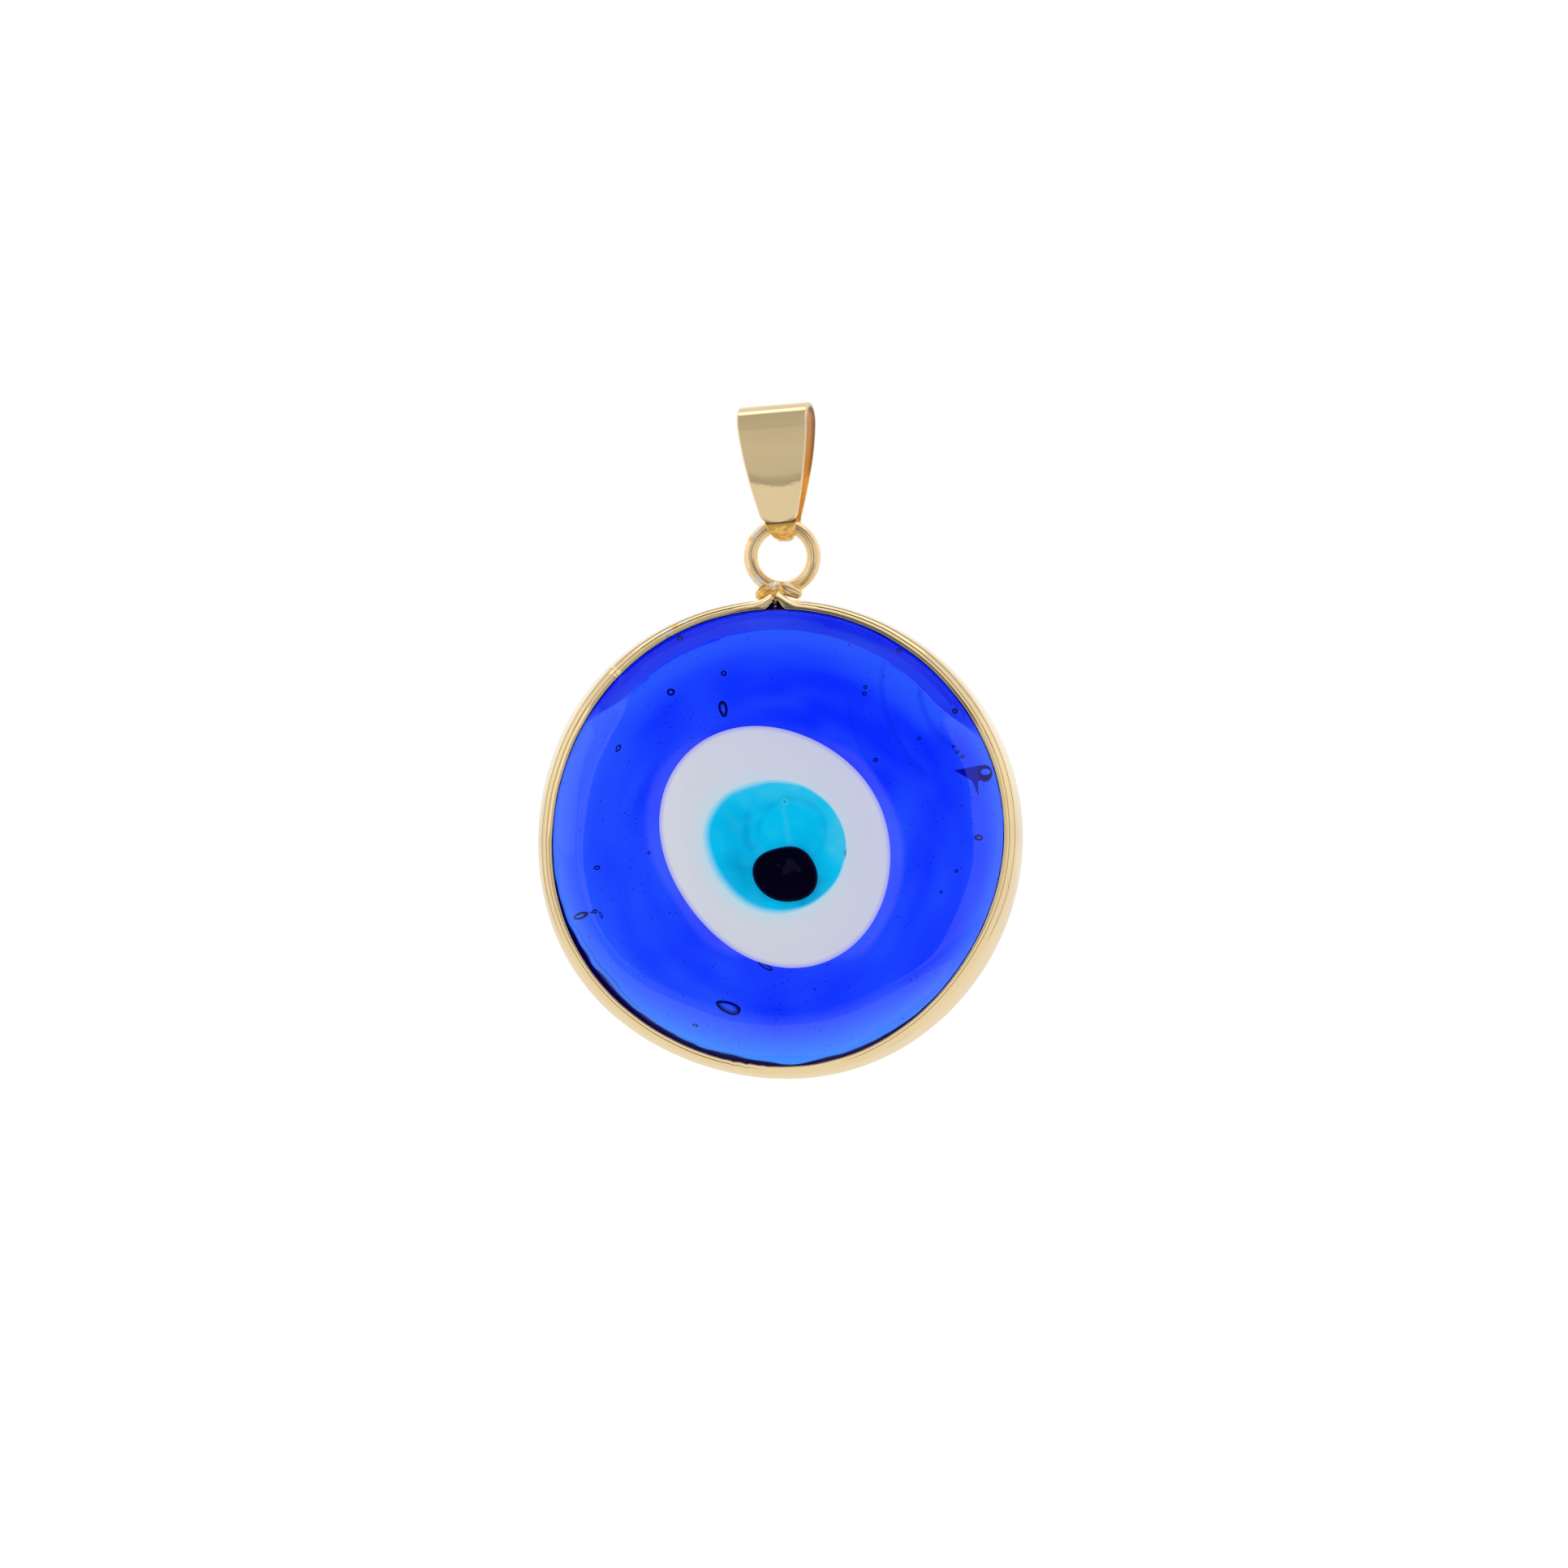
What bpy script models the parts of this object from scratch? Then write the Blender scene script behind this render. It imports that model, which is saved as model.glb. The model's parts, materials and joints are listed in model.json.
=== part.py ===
# Glass eye pendant: a cobalt glass disc with a melted-in eye, held in a gold-coloured channel band,
# hung from a folded sheet bail by a wire loop with crossed ends.
# Frame: metres, +Z up, the eye looks along -Y, the origin is where a chain bears inside the bail.

from dataclasses import dataclass
from math import atan2, cos, degrees, exp, hypot, pi, radians, sin, sqrt

import bmesh
import bpy
from mathutils import Euler, Vector

MM = 0.001

# Driving dimensions in millimetres, angles in degrees.
# A lobe is (count round the outline, height as a share of the radius, direction of a crest from +X to +Z).

# Band round the glass
BAND_RADIUS = 14.98
BAND_LOBES = ((2, 0.0057, -1), (4, 0.0043, 34), (5, 0.0028, -4))
BAND_WALL = 0.35
BEAD_WIDTH = 0.30
BEAD_HEIGHT = 0.30
BEAD_PROFILE = ((0.0, 0.0), (0.0, 0.5), (0.2, 0.9), (0.55, 1.0), (0.9, 0.85))
GROOVE_WIDTH = 0.10
GROOVE_DEPTH = 0.12
SHOULDER_WIDTH = 0.54
SHOULDER_LOBES = ((1, 0.37, -35), (2, 0.35, -13), (4, 0.11, -40))
BACK_LIP_WIDTH = 1.10
SEAM_ANGLE = 91.2
SEAM_GAP = 0.22
FLARE_HEIGHT = 0.52
FLARE_SPREAD = 3.4
FLARE_START = 0.95
FLARE_FULL = 1.60

# Glass disc
GLASS_GAP = 0.08
RIM_DEPTH = 1.70
FRONT_SHOULDER = 2.40
FRONT_SHOULDER_RISE = 1.35
FRONT_CROWN = 0.25
BACK_SHOULDER = 2.10
BACK_SHOULDER_RISE = 1.05

# Eye: every dot has a radius, lobes, a centre from the middle of the disc, a depth and a height
WHITE_RADIUS = 7.23
WHITE_LOBES = ((2, 0.0813, -53), (3, 0.0177, 32), (4, 0.0051, 29))
WHITE_X = -0.25
WHITE_Z = -0.35
WHITE_DEPTH = 1.25
WHITE_PROUD = 0.06
SKY_RADIUS = 4.27
SKY_LOBES = ((2, 0.0429, -22), (3, 0.0183, 33), (4, 0.0094, -21))
SKY_X = -0.29
SKY_Z = -0.38
SKY_DEPTH = 0.80
SKY_PROUD = 0.12
PUPIL_RADIUS = 1.86
PUPIL_LOBES = ((2, 0.0839, -8), (3, 0.0237, -59), (4, 0.0204, -24))
PUPIL_X = 0.36
PUPIL_Z = -2.15
PUPIL_DEPTH = 0.42
PUPIL_PROUD = 0.18
DOT_GAP = 0.05
DOT_ROUND = 0.10
DOT_FLOOR = 0.84
DOT_WAIST = 0.97
DOT_WAIST_LIFT = 0.45

# Wire loop with crossed ends
LOOP_RADIUS = 1.95
LOOP_WIRE = 0.85
LOOP_X = 0.15
LOOP_LIFT = 0.31
LOOP_CROSS_GAP = 0.08
LOOP_CROSS_SWEEP = 110
FOOT_REACH = 1.02
FOOT_TIP = 0.62
FOOT_FALL = 1.3
FOOT_GAP = 0.07

# Solder lump at the seam
SOLDER_X = -0.55
SOLDER_Y = -0.72
SOLDER_RISE = 0.45
SOLDER_WIDTH = 1.90
SOLDER_DEPTH = 1.50
SOLDER_HEIGHT = 1.30
SOLDER_LUMP = 0.065
SOLDER_WAVES = (3.1, -2.2, 4.3)
SOLDER_PHASE = 1.3
SOLDER_GAP = 0.05

# Folded bail
BAIL_SHEET = 0.32
BAIL_HEIGHT = 7.50
BAIL_FOLD_RISE = 1.16
BAIL_TOP_WIDTH = 4.44
BAIL_FRONT_WIDTH = 2.06
BAIL_BACK_WIDTH = 1.30
BAIL_WAIST = 0.74
BAIL_WAIST_BACK_POWER = 4.5
BAIL_WAIST_FRONT_POWER = 1.5
BAIL_TONGUE_WIDTH = 1.66
BAIL_FRONT_END = 0.19
BAIL_CORNER = 0.45
BAIL_TONGUE_END = 0.75
BAIL_LAP_GAP = 0.06
BAIL_EDGE_WIDTH = 0.22
BAIL_EDGE_DEPTH = 0.10
BAIL_EDGE_SOFT = 0.35
BAIL_LEAN = 4.5
BAIL_YAW = 11.5
LOOP_PLAY = 0.70
LOOP_SEAT_GAP = 0.26
LOOP_SIDE_SHIFT = 0.17

# Fineness of the facets
DISC_STEPS = 96
DOT_STEPS = 60
BAND_STEPS = 92
BAND_END_CROWDING = 0.72
ROUND_STEPS = 5
RING_STEPS = 44
FOOT_STEPS = 7
FOLD_STEPS = 13
LEAF_STEPS = 12
CORNER_STEPS = 5
NOSE_TURNS = (40, 75)
RECESS_SHARES = (1 / 3, 2 / 3, 1)
LINING_SHARES = (0.0, 0.12, 0.35, 0.65)
LINING_EASE = 4
WIRE_RESOLUTION = 3
SHARP_ANGLE = 40

# Finishes: colour, metallic, roughness
GOLD = ((0.86, 0.68, 0.38, 1.0), 1.0, 0.15)
SOLDER_GOLD = ((0.82, 0.58, 0.25, 1.0), 1.0, 0.30)
COBALT = ((0.01, 0.04, 0.80, 1.0), 0.0, 0.05)
WHITE = ((0.60, 0.64, 0.72, 1.0), 0.0, 0.08)
SKY_BLUE = ((0.00, 0.44, 0.74, 1.0), 0.0, 0.08)
NEAR_BLACK = ((0.003, 0.002, 0.010, 1.0), 0.0, 0.08)


def wavy_radius(radius, lobes, angle):
    # radius of a round outline with a few soft lobes, angle in radians
    return radius * (1 + sum(high * cos(count * (angle - radians(crest))) for count, high, crest in lobes))


def band_radius(angle):
    return wavy_radius(BAND_RADIUS, BAND_LOBES, angle)


def glass_radius(angle):
    return band_radius(angle) - BAND_WALL - GLASS_GAP


def lip_radius(angle):
    # inner edge of the front lip, where the glass comes into view
    shoulder = wavy_radius(SHOULDER_WIDTH, SHOULDER_LOBES, angle)
    return band_radius(angle) - shoulder - GROOVE_WIDTH - BEAD_WIDTH


def quarter_round(inset, width, rise):
    # height of an elliptical edge at a distance in from the rim
    if inset >= width:
        return rise
    return rise * sqrt(1 - (1 - max(inset, 0) / width) ** 2)


def glass_front(x, z):
    # Y of the domed front face
    angle = atan2(z, x)
    inset = glass_radius(angle) - hypot(x, z)
    crown_span = glass_radius(angle) - FRONT_SHOULDER
    climb = min(max((inset - FRONT_SHOULDER) / crown_span, 0), 1)
    crown = FRONT_CROWN * (1 - (1 - climb) ** 2)
    return -(RIM_DEPTH / 2 + quarter_round(inset, FRONT_SHOULDER, FRONT_SHOULDER_RISE) + crown)


def glass_back(inset):
    # Y of the back at a distance in from the rim
    return RIM_DEPTH / 2 + quarter_round(inset, BACK_SHOULDER, BACK_SHOULDER_RISE)


def add_object(name, data, finish):
    # one named piece with its own material
    color, metallic, roughness = finish
    material = bpy.data.materials.new(name)
    material.use_nodes = True
    shader = material.node_tree.nodes["Principled BSDF"]
    shader.inputs["Base Color"].default_value = color
    shader.inputs["Metallic"].default_value = metallic
    shader.inputs["Roughness"].default_value = roughness
    data.materials.append(material)
    piece = bpy.data.objects.new(name, data)
    bpy.context.scene.collection.objects.link(piece)
    return piece


def finish_mesh(name, bm):
    # closes the bmesh into a mesh with its faces out and round faces smooth
    bmesh.ops.recalc_face_normals(bm, faces=bm.faces)
    bmesh.ops.scale(bm, vec=(MM, MM, MM), verts=bm.verts)
    mesh = bpy.data.meshes.new(name)
    bm.to_mesh(mesh)
    bm.free()
    mesh.shade_smooth()
    mesh.set_sharp_from_angle(angle=radians(SHARP_ANGLE))
    return mesh


def skin(bm, rings):
    # faces between neighbouring closed rings of points; a ring of one point is a pole
    made = [[bm.verts.new(point) for point in ring] for ring in rings]
    for lower, upper in zip(made, made[1:]):
        for i in range(max(len(lower), len(upper))):
            low = [lower[k % len(lower)] for k in (i, i + 1)]
            high = [upper[k % len(upper)] for k in (i + 1, i)]
            bm.faces.new(list(dict.fromkeys(low + high)))
    return made


def solid_between_poles(name, rings):
    bm = bmesh.new()
    skin(bm, rings)
    return finish_mesh(name, bm)


def capped_strip(name, rings):
    bm = bmesh.new()
    made = skin(bm, rings)
    bm.faces.new(made[0])
    bm.faces.new(made[-1])
    return finish_mesh(name, bm)


def turns(steps):
    return [2 * pi * i / steps for i in range(steps)]


# Glass

def disc_ring(inset, depth, steps):
    # outline of the disc moved in from its rim, at a depth along Y
    ring = []
    for angle in turns(steps):
        r = glass_radius(angle) - inset
        ring.append(Vector((r * cos(angle), depth, r * sin(angle))))
    return ring


@dataclass
class Dot:
    # one melted dot: its outline, how deep it sinks and how far its face stands above the glass
    radius: float
    lobes: tuple
    x: float
    z: float
    depth: float
    proud: float

    def outline(self, steps, grow=0.0, share=1.0):
        points = []
        for angle in turns(steps):
            r = (wavy_radius(self.radius, self.lobes, angle) + grow) * share
            points.append((self.x + r * cos(angle), self.z + r * sin(angle)))
        return points

    def face(self, points, lift):
        return [Vector((x, glass_front(x, z) - lift, z)) for x, z in points]

    def floor_y(self):
        return glass_front(self.x, self.z) + self.depth

    def sides(self, steps, grow):
        # rings of the sunk part from its waist down to the pole of its floor
        floor_y = self.floor_y() + grow
        waist_y = floor_y - self.depth * DOT_WAIST_LIFT
        waist = [Vector((x, waist_y, z)) for x, z in self.outline(steps, grow, DOT_WAIST)]
        floor = [Vector((x, floor_y, z)) for x, z in self.outline(steps, grow, DOT_FLOOR)]
        return [waist, floor, [Vector((self.x, floor_y, self.z))]]


white = Dot(WHITE_RADIUS, WHITE_LOBES, WHITE_X, WHITE_Z, WHITE_DEPTH, WHITE_PROUD)
sky = Dot(SKY_RADIUS, SKY_LOBES, SKY_X, SKY_Z, SKY_DEPTH, SKY_PROUD)
pupil = Dot(PUPIL_RADIUS, PUPIL_LOBES, PUPIL_X, PUPIL_Z, PUPIL_DEPTH, PUPIL_PROUD)


def blended(outer, inner, share):
    return [(a[0] + (b[0] - a[0]) * share, a[1] + (b[1] - a[1]) * share) for a, b in zip(outer, inner)]


def recess_rings(carrier_points, dot, lift, steps):
    # face of the carrier from its outline in to the dot's recess, then down into the recess
    mouth = dot.outline(steps, DOT_GAP)
    rings = [dot.face(blended(carrier_points, mouth, share), lift) for share in RECESS_SHARES]
    return rings + dot.sides(steps, DOT_GAP)


def build_glass_disc():
    steps = DISC_STEPS
    rim_in = [ROUND_STEPS - i for i in range(ROUND_STEPS + 1)]
    rings = [[Vector((0, glass_back(BACK_SHOULDER), 0))]]
    for i in rim_in:
        inset = BACK_SHOULDER * (1 - cos(pi / 2 * i / ROUND_STEPS))
        rings.append(disc_ring(inset, glass_back(inset), steps))
    for i in reversed(rim_in):
        inset = FRONT_SHOULDER * (1 - cos(pi / 2 * i / ROUND_STEPS))
        depth = -(RIM_DEPTH / 2 + quarter_round(inset, FRONT_SHOULDER, FRONT_SHOULDER_RISE))
        rings.append(disc_ring(inset, depth, steps))
    edge = [(p.x, p.z) for p in rings[-1]]
    rings += recess_rings(edge, white, 0.0, steps)
    return add_object("glass_disc", solid_between_poles("glass_disc", rings), COBALT)


def build_dot(name, dot, inner, finish):
    # sunk lens with a rounded edge; a dot that carries another has a recess for it
    steps = DOT_STEPS
    shoulder = dot.face(dot.outline(steps), -DOT_ROUND)
    edge_points = dot.outline(steps, -DOT_ROUND)
    rings = dot.sides(steps, 0.0)[::-1] + [shoulder, dot.face(edge_points, dot.proud)]
    if inner:
        rings += recess_rings(edge_points, inner, dot.proud, steps)
    else:
        crown = (dot.x, dot.z)
        rings.append(dot.face(blended(edge_points, [crown] * steps, 0.5), dot.proud))
        rings.append(dot.face([crown], dot.proud))
    return add_object(name, solid_between_poles(name, rings), finish)


# Band

def seam_distance(angle):
    # degrees along the band from its seam
    away = (angle - radians(SEAM_ANGLE)) % (2 * pi)
    return degrees(min(away, 2 * pi - away))


def flared(angle, r, y):
    # the ends of the front lip turn up beside the seam
    share = min(max((-y - FLARE_START) / (FLARE_FULL - FLARE_START), 0), 1)
    return r + FLARE_HEIGHT * share * exp(-((seam_distance(angle) / FLARE_SPREAD) ** 2)), y


def band_outside(angle, grow=0.0):
    # outer contour of the channel as (radius, Y), from the front lip over the wall to the back lip
    outer = band_radius(angle)
    lip = lip_radius(angle)
    seat = glass_front(lip * cos(angle), lip * sin(angle)) - GLASS_GAP
    step = lip + BEAD_WIDTH + GROOVE_WIDTH
    front = [(lip + BEAD_WIDTH * wide, seat - BEAD_HEIGHT * high) for wide, high in BEAD_PROFILE]
    edge_y = front[-1][1]
    front.append((step - GROOVE_WIDTH / 2, seat - BEAD_HEIGHT + GROOVE_DEPTH))
    front.append((step, edge_y))
    rim_y = RIM_DEPTH / 2
    shoulder_rise = -edge_y - rim_y
    for i in range(1, ROUND_STEPS):
        turn = pi / 2 * i / ROUND_STEPS
        front.append((step + (outer - step) * sin(turn), -rim_y - shoulder_rise * cos(turn)))
    back_lip = outer - BACK_LIP_WIDTH
    back_seat = glass_back(glass_radius(angle) - back_lip) + GLASS_GAP
    back_rise = back_seat + BEAD_HEIGHT - rim_y
    back = []
    for i in range(1, ROUND_STEPS):
        turn = pi / 2 * i / ROUND_STEPS
        back.append((outer - BACK_LIP_WIDTH * (1 - cos(turn)), rim_y + back_rise * sin(turn)))
    for wide, high in (BEAD_PROFILE[2], BEAD_PROFILE[0]):
        back.append((back_lip + BEAD_WIDTH * wide, back_seat + BEAD_HEIGHT * high))
    contour = front + [(outer, -rim_y), (outer, rim_y)] + back
    return [flared(angle, r + grow, y + (grow if y > 0 else -grow)) for r, y in contour]


def band_inside(angle):
    # inner contour along the glass, from the back lip to the front lip
    rim = glass_radius(angle)
    front_reach = rim - lip_radius(angle)
    back_reach = rim - (band_radius(angle) - BACK_LIP_WIDTH)
    points = []
    for share in reversed(LINING_SHARES):
        inset = back_reach * share
        off = GLASS_GAP * min(share * LINING_EASE, 1)
        points.append((rim - inset + GLASS_GAP, glass_back(inset) + off))
    for share in LINING_SHARES:
        inset = front_reach * share
        off = GLASS_GAP * min(share * LINING_EASE, 1)
        rise = quarter_round(inset, FRONT_SHOULDER, FRONT_SHOULDER_RISE)
        points.append((rim - inset + GLASS_GAP, -RIM_DEPTH / 2 - rise - off))
    return [flared(angle, r, y) for r, y in points]


def band_angles(seam_gap):
    # stations along the strip, closer together near its ends
    half_gap = seam_gap / 2 / BAND_RADIUS
    start = radians(SEAM_ANGLE) + half_gap
    span = 2 * pi - 2 * half_gap
    shares = [i / BAND_STEPS for i in range(BAND_STEPS + 1)]
    return [start + span * (u - BAND_END_CROWDING * sin(2 * pi * u) / (2 * pi)) for u in shares]


def sweep_band(name, section, seam_gap):
    # carries a closed section round the band and caps both ends
    rings = []
    for angle in band_angles(seam_gap):
        rings.append([Vector((r * cos(angle), y, r * sin(angle))) for r, y in section(angle)])
    return capped_strip(name, rings)


def build_bezel_band():
    mesh = sweep_band("bezel_band", lambda angle: band_outside(angle) + band_inside(angle), SEAM_GAP)
    return add_object("bezel_band", mesh, GOLD)


# Loop and solder

def loop_centre():
    return Vector((LOOP_X, 0, band_radius(pi / 2) + LOOP_LIFT + LOOP_WIRE / 2 + LOOP_RADIUS))


def loop_foot():
    # points and wire radii of the right foot, from its rounded nose in to the ring
    centre = loop_centre()
    wire = LOOP_WIRE / 2
    tip = FOOT_TIP / 2
    bottom_z = centre.z - LOOP_RADIUS
    tip_angle = atan2(band_radius(pi / 2), LOOP_X + FOOT_REACH)
    tip_z = band_radius(tip_angle) * sin(tip_angle) + FOOT_GAP + tip
    nose = [(1 + tip / FOOT_REACH * sin(radians(turn)), tip * cos(radians(turn))) for turn in NOSE_TURNS]
    shares = [i / FOOT_STEPS for i in range(1, FOOT_STEPS + 1)]
    stations = [(share, wire + (tip - wire) * share ** 2) for share in shares] + nose
    foot = []
    for share, radius in reversed(stations):
        z = bottom_z + (tip_z - bottom_z) * share ** FOOT_FALL
        foot.append((Vector((centre.x + FOOT_REACH * share, -crossing_offset(), z)), radius))
    return foot


def crossing_offset():
    # the crossed ends lie side by side along Y
    return (LOOP_WIRE + LOOP_CROSS_GAP) / 2


def loop_route():
    # points and wire radii from the right foot round the ring to the left foot
    centre = loop_centre()
    right_foot = loop_foot()
    ring = []
    for i in range(RING_STEPS + 1):
        turn = 2 * pi * i / RING_STEPS
        from_end = min(turn, 2 * pi - turn)
        share = min(from_end / radians(LOOP_CROSS_SWEEP), 1)
        side = -1 if turn < pi else 1
        y = side * crossing_offset() * (1 + cos(pi * share)) / 2
        place = centre + Vector((-LOOP_RADIUS * sin(turn), y, -LOOP_RADIUS * cos(turn)))
        ring.append((place, LOOP_WIRE / 2))
    left_foot = []
    for point, radius in reversed(right_foot):
        left_foot.append((Vector((2 * centre.x - point.x, -point.y, point.z)), radius))
    return right_foot + ring + left_foot


def wire_curve(name, grow):
    curve = bpy.data.curves.new(name, "CURVE")
    curve.dimensions = "3D"
    curve.bevel_depth = LOOP_WIRE / 2 * MM
    curve.bevel_resolution = WIRE_RESOLUTION
    curve.use_fill_caps = True
    route = loop_route()
    spline = curve.splines.new("POLY")
    spline.points.add(len(route) - 1)
    for point, (place, radius) in zip(spline.points, route):
        point.co = (*(place * MM), 1)
        point.radius = (radius + grow) / (LOOP_WIRE / 2)
    return curve


def build_hanging_loop():
    return add_object("hanging_loop", wire_curve("hanging_loop", 0.0), GOLD)


def add_cutter(name, mesh):
    cutter = bpy.data.objects.new(name, mesh)
    bpy.context.scene.collection.objects.link(cutter)
    cutter.hide_render = True
    cutter.display_type = "WIRE"
    return cutter


def build_solder_bead():
    # uneven lump under and in front of the crossed wires, cut to the wires and to the band
    bm = bmesh.new()
    bmesh.ops.create_icosphere(bm, subdivisions=3, radius=1)
    middle = Vector((SOLDER_X, SOLDER_Y, band_radius(pi / 2) + SOLDER_RISE))
    for vert in bm.verts:
        wave = [speed * at for speed, at in zip(SOLDER_WAVES, vert.co)]
        lump = 1 + SOLDER_LUMP * (sin(wave[0] + SOLDER_PHASE) + sin(wave[1] + wave[2]))
        vert.co = middle + lump / 2 * vert.co * Vector((SOLDER_WIDTH, SOLDER_DEPTH, SOLDER_HEIGHT))
    bead = add_object("solder_bead", finish_mesh("solder_bead", bm), SOLDER_GOLD)
    wire = bpy.data.objects.new("wire_guide", wire_curve("wire_guide", SOLDER_GAP))
    wire_mesh = bpy.data.meshes.new_from_object(wire)
    bpy.data.objects.remove(wire)
    core = BAND_RADIUS - SOLDER_HEIGHT - SHOULDER_WIDTH

    def block(angle):
        outside = band_outside(angle, SOLDER_GAP)
        return outside + [(core, outside[-1][1]), (core, outside[0][1])]

    band_mesh = sweep_band("cut_band", block, SEAM_GAP - 2 * SOLDER_GAP)
    cutters = [add_cutter("cut_wire", wire_mesh), add_cutter("cut_band", band_mesh)]
    for cutter in cutters:
        cut = bead.modifiers.new(cutter.name, "BOOLEAN")
        cut.operation = "DIFFERENCE"
        cut.solver = "EXACT"
        cut.object = cutter
    return [bead] + cutters


# Bail

def bail_levels():
    # Y of the three sheet layers and heights of the fold and the bend, seen from the wire's centre
    sheet = BAIL_SHEET
    inside = LOOP_WIRE / 2 + LOOP_PLAY
    back = inside + sheet / 2
    tongue = -back
    front = tongue - sheet - BAIL_LAP_GAP
    fold_radius = (back - front) / 2
    return {
        "back": back,
        "tongue": tongue,
        "front": front,
        "fold_radius": fold_radius,
        "fold_y": (back + front) / 2,
        "fold_z": BAIL_HEIGHT - BAIL_FOLD_RISE - sheet / 2,
        "bend_z": LOOP_PLAY - LOOP_SEAT_GAP,
    }


def tapered(low, high, height):
    # half width of a leaf, swelling from its lower end to the top
    return (low + (high - low) * sin(pi / 2 * min(max(height / BAIL_HEIGHT, 0), 1))) / 2


def bail_route():
    # stations of the strip as (y, z, turn of its outer side, half width), from the front leaf's free end
    # up, over the fold, down the back, under the wire and up behind the front leaf
    lay = bail_levels()
    stations = []
    corner_heights = [BAIL_CORNER * (1 - cos(pi / 2 * i / CORNER_STEPS)) for i in range(CORNER_STEPS)]
    straight = lay["fold_z"] - BAIL_FRONT_END - BAIL_CORNER
    heights = corner_heights + [BAIL_CORNER + straight * i / LEAF_STEPS for i in range(LEAF_STEPS)]
    for rise in heights:
        z = BAIL_FRONT_END + rise
        half = tapered(BAIL_FRONT_WIDTH, BAIL_TOP_WIDTH, z)
        short = BAIL_CORNER - min(rise, BAIL_CORNER)
        half -= BAIL_CORNER - sqrt(BAIL_CORNER ** 2 - short ** 2)
        stations.append((lay["front"], z, 0.0, half))
    for i in range(FOLD_STEPS + 1):
        turn = pi * i / FOLD_STEPS
        z = lay["fold_z"] + BAIL_FOLD_RISE * sin(turn)
        y = lay["fold_y"] - lay["fold_radius"] * cos(turn)
        low = BAIL_FRONT_WIDTH + (BAIL_BACK_WIDTH - BAIL_FRONT_WIDTH) * i / FOLD_STEPS
        facing = atan2(lay["fold_radius"] * sin(turn), BAIL_FOLD_RISE * cos(turn))
        stations.append((y, z, facing, tapered(low, BAIL_TOP_WIDTH, z)))
    drop = lay["fold_z"] - lay["bend_z"]
    for i in range(1, LEAF_STEPS):
        z = lay["fold_z"] - drop * i / LEAF_STEPS
        stations.append((lay["back"], z, pi, tapered(BAIL_BACK_WIDTH, BAIL_TOP_WIDTH, z)))
    bend_half = tapered(BAIL_BACK_WIDTH, BAIL_TOP_WIDTH, lay["bend_z"])
    for i in range(FOLD_STEPS + 1):
        turn = pi * i / FOLD_STEPS
        z = lay["bend_z"] - lay["back"] * sin(turn)
        y = lay["back"] * cos(turn)
        if turn < pi / 2:
            end_half, power = bend_half, BAIL_WAIST_BACK_POWER
        else:
            end_half, power = BAIL_TONGUE_WIDTH / 2, BAIL_WAIST_FRONT_POWER
        half = BAIL_WAIST / 2 + (end_half - BAIL_WAIST / 2) * abs(cos(turn)) ** power
        stations.append((y, z, pi + turn, half))
    stations.append((lay["tongue"], BAIL_TONGUE_END, 2 * pi, BAIL_TONGUE_WIDTH / 2))
    return stations


def build_bail():
    # flat section with softened outer edges, carried along the folded route
    lay = bail_levels()
    thick = BAIL_SHEET / 2
    seat = Vector((0, lay["fold_y"], lay["fold_z"] + BAIL_FOLD_RISE - thick))
    rings = []
    for y, z, turn, half in bail_route():
        outward = Vector((0, -cos(turn), sin(turn)))
        soft = (half - BAIL_EDGE_WIDTH * BAIL_EDGE_SOFT, thick - BAIL_EDGE_DEPTH * BAIL_EDGE_SOFT)
        right = [(half, -thick), (half, thick - BAIL_EDGE_DEPTH), soft, (half - BAIL_EDGE_WIDTH, thick)]
        across = right + [(-x, out) for x, out in reversed(right)]
        rings.append([Vector((x, y, z)) + outward * out - seat for x, out in across])
    bail = add_object("bail", capped_strip("bail", rings), GOLD)
    bail.rotation_mode = "ZYX"
    bail.rotation_euler = bail_turn()
    return bail, -seat


def bail_turn():
    # the bail leans in the plane of the eye and is turned a little on the loop
    return Euler((0, radians(-BAIL_LEAN), radians(-BAIL_YAW)), "ZYX")


def build_pendant():
    for old in list(bpy.data.objects):
        bpy.data.objects.remove(old)
    bail, wire_from_seat = build_bail()
    swing = bpy.data.objects.new("swing_axis", None)
    bpy.context.scene.collection.objects.link(swing)
    swing.location = (bail_turn().to_matrix() @ wire_from_seat - Vector((LOOP_SIDE_SHIFT, 0, 0))) * MM
    hung = [
        build_glass_disc(),
        build_dot("white_dot", white, sky, WHITE),
        build_dot("sky_blue_dot", sky, pupil, SKY_BLUE),
        build_dot("pupil_dot", pupil, None, NEAR_BLACK),
        build_bezel_band(),
        build_hanging_loop(),
    ] + build_solder_bead()
    loop_top = loop_centre() + Vector((0, 0, LOOP_RADIUS))
    for piece in hung:
        piece.parent = swing
        piece.location = -loop_top * MM


build_pendant()
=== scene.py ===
# Glass eye pendant: the finish of every piece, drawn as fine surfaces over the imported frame.
# Lengths in the dictionaries are millimetres, angles degrees; meshes are written in metres.
import json

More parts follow.
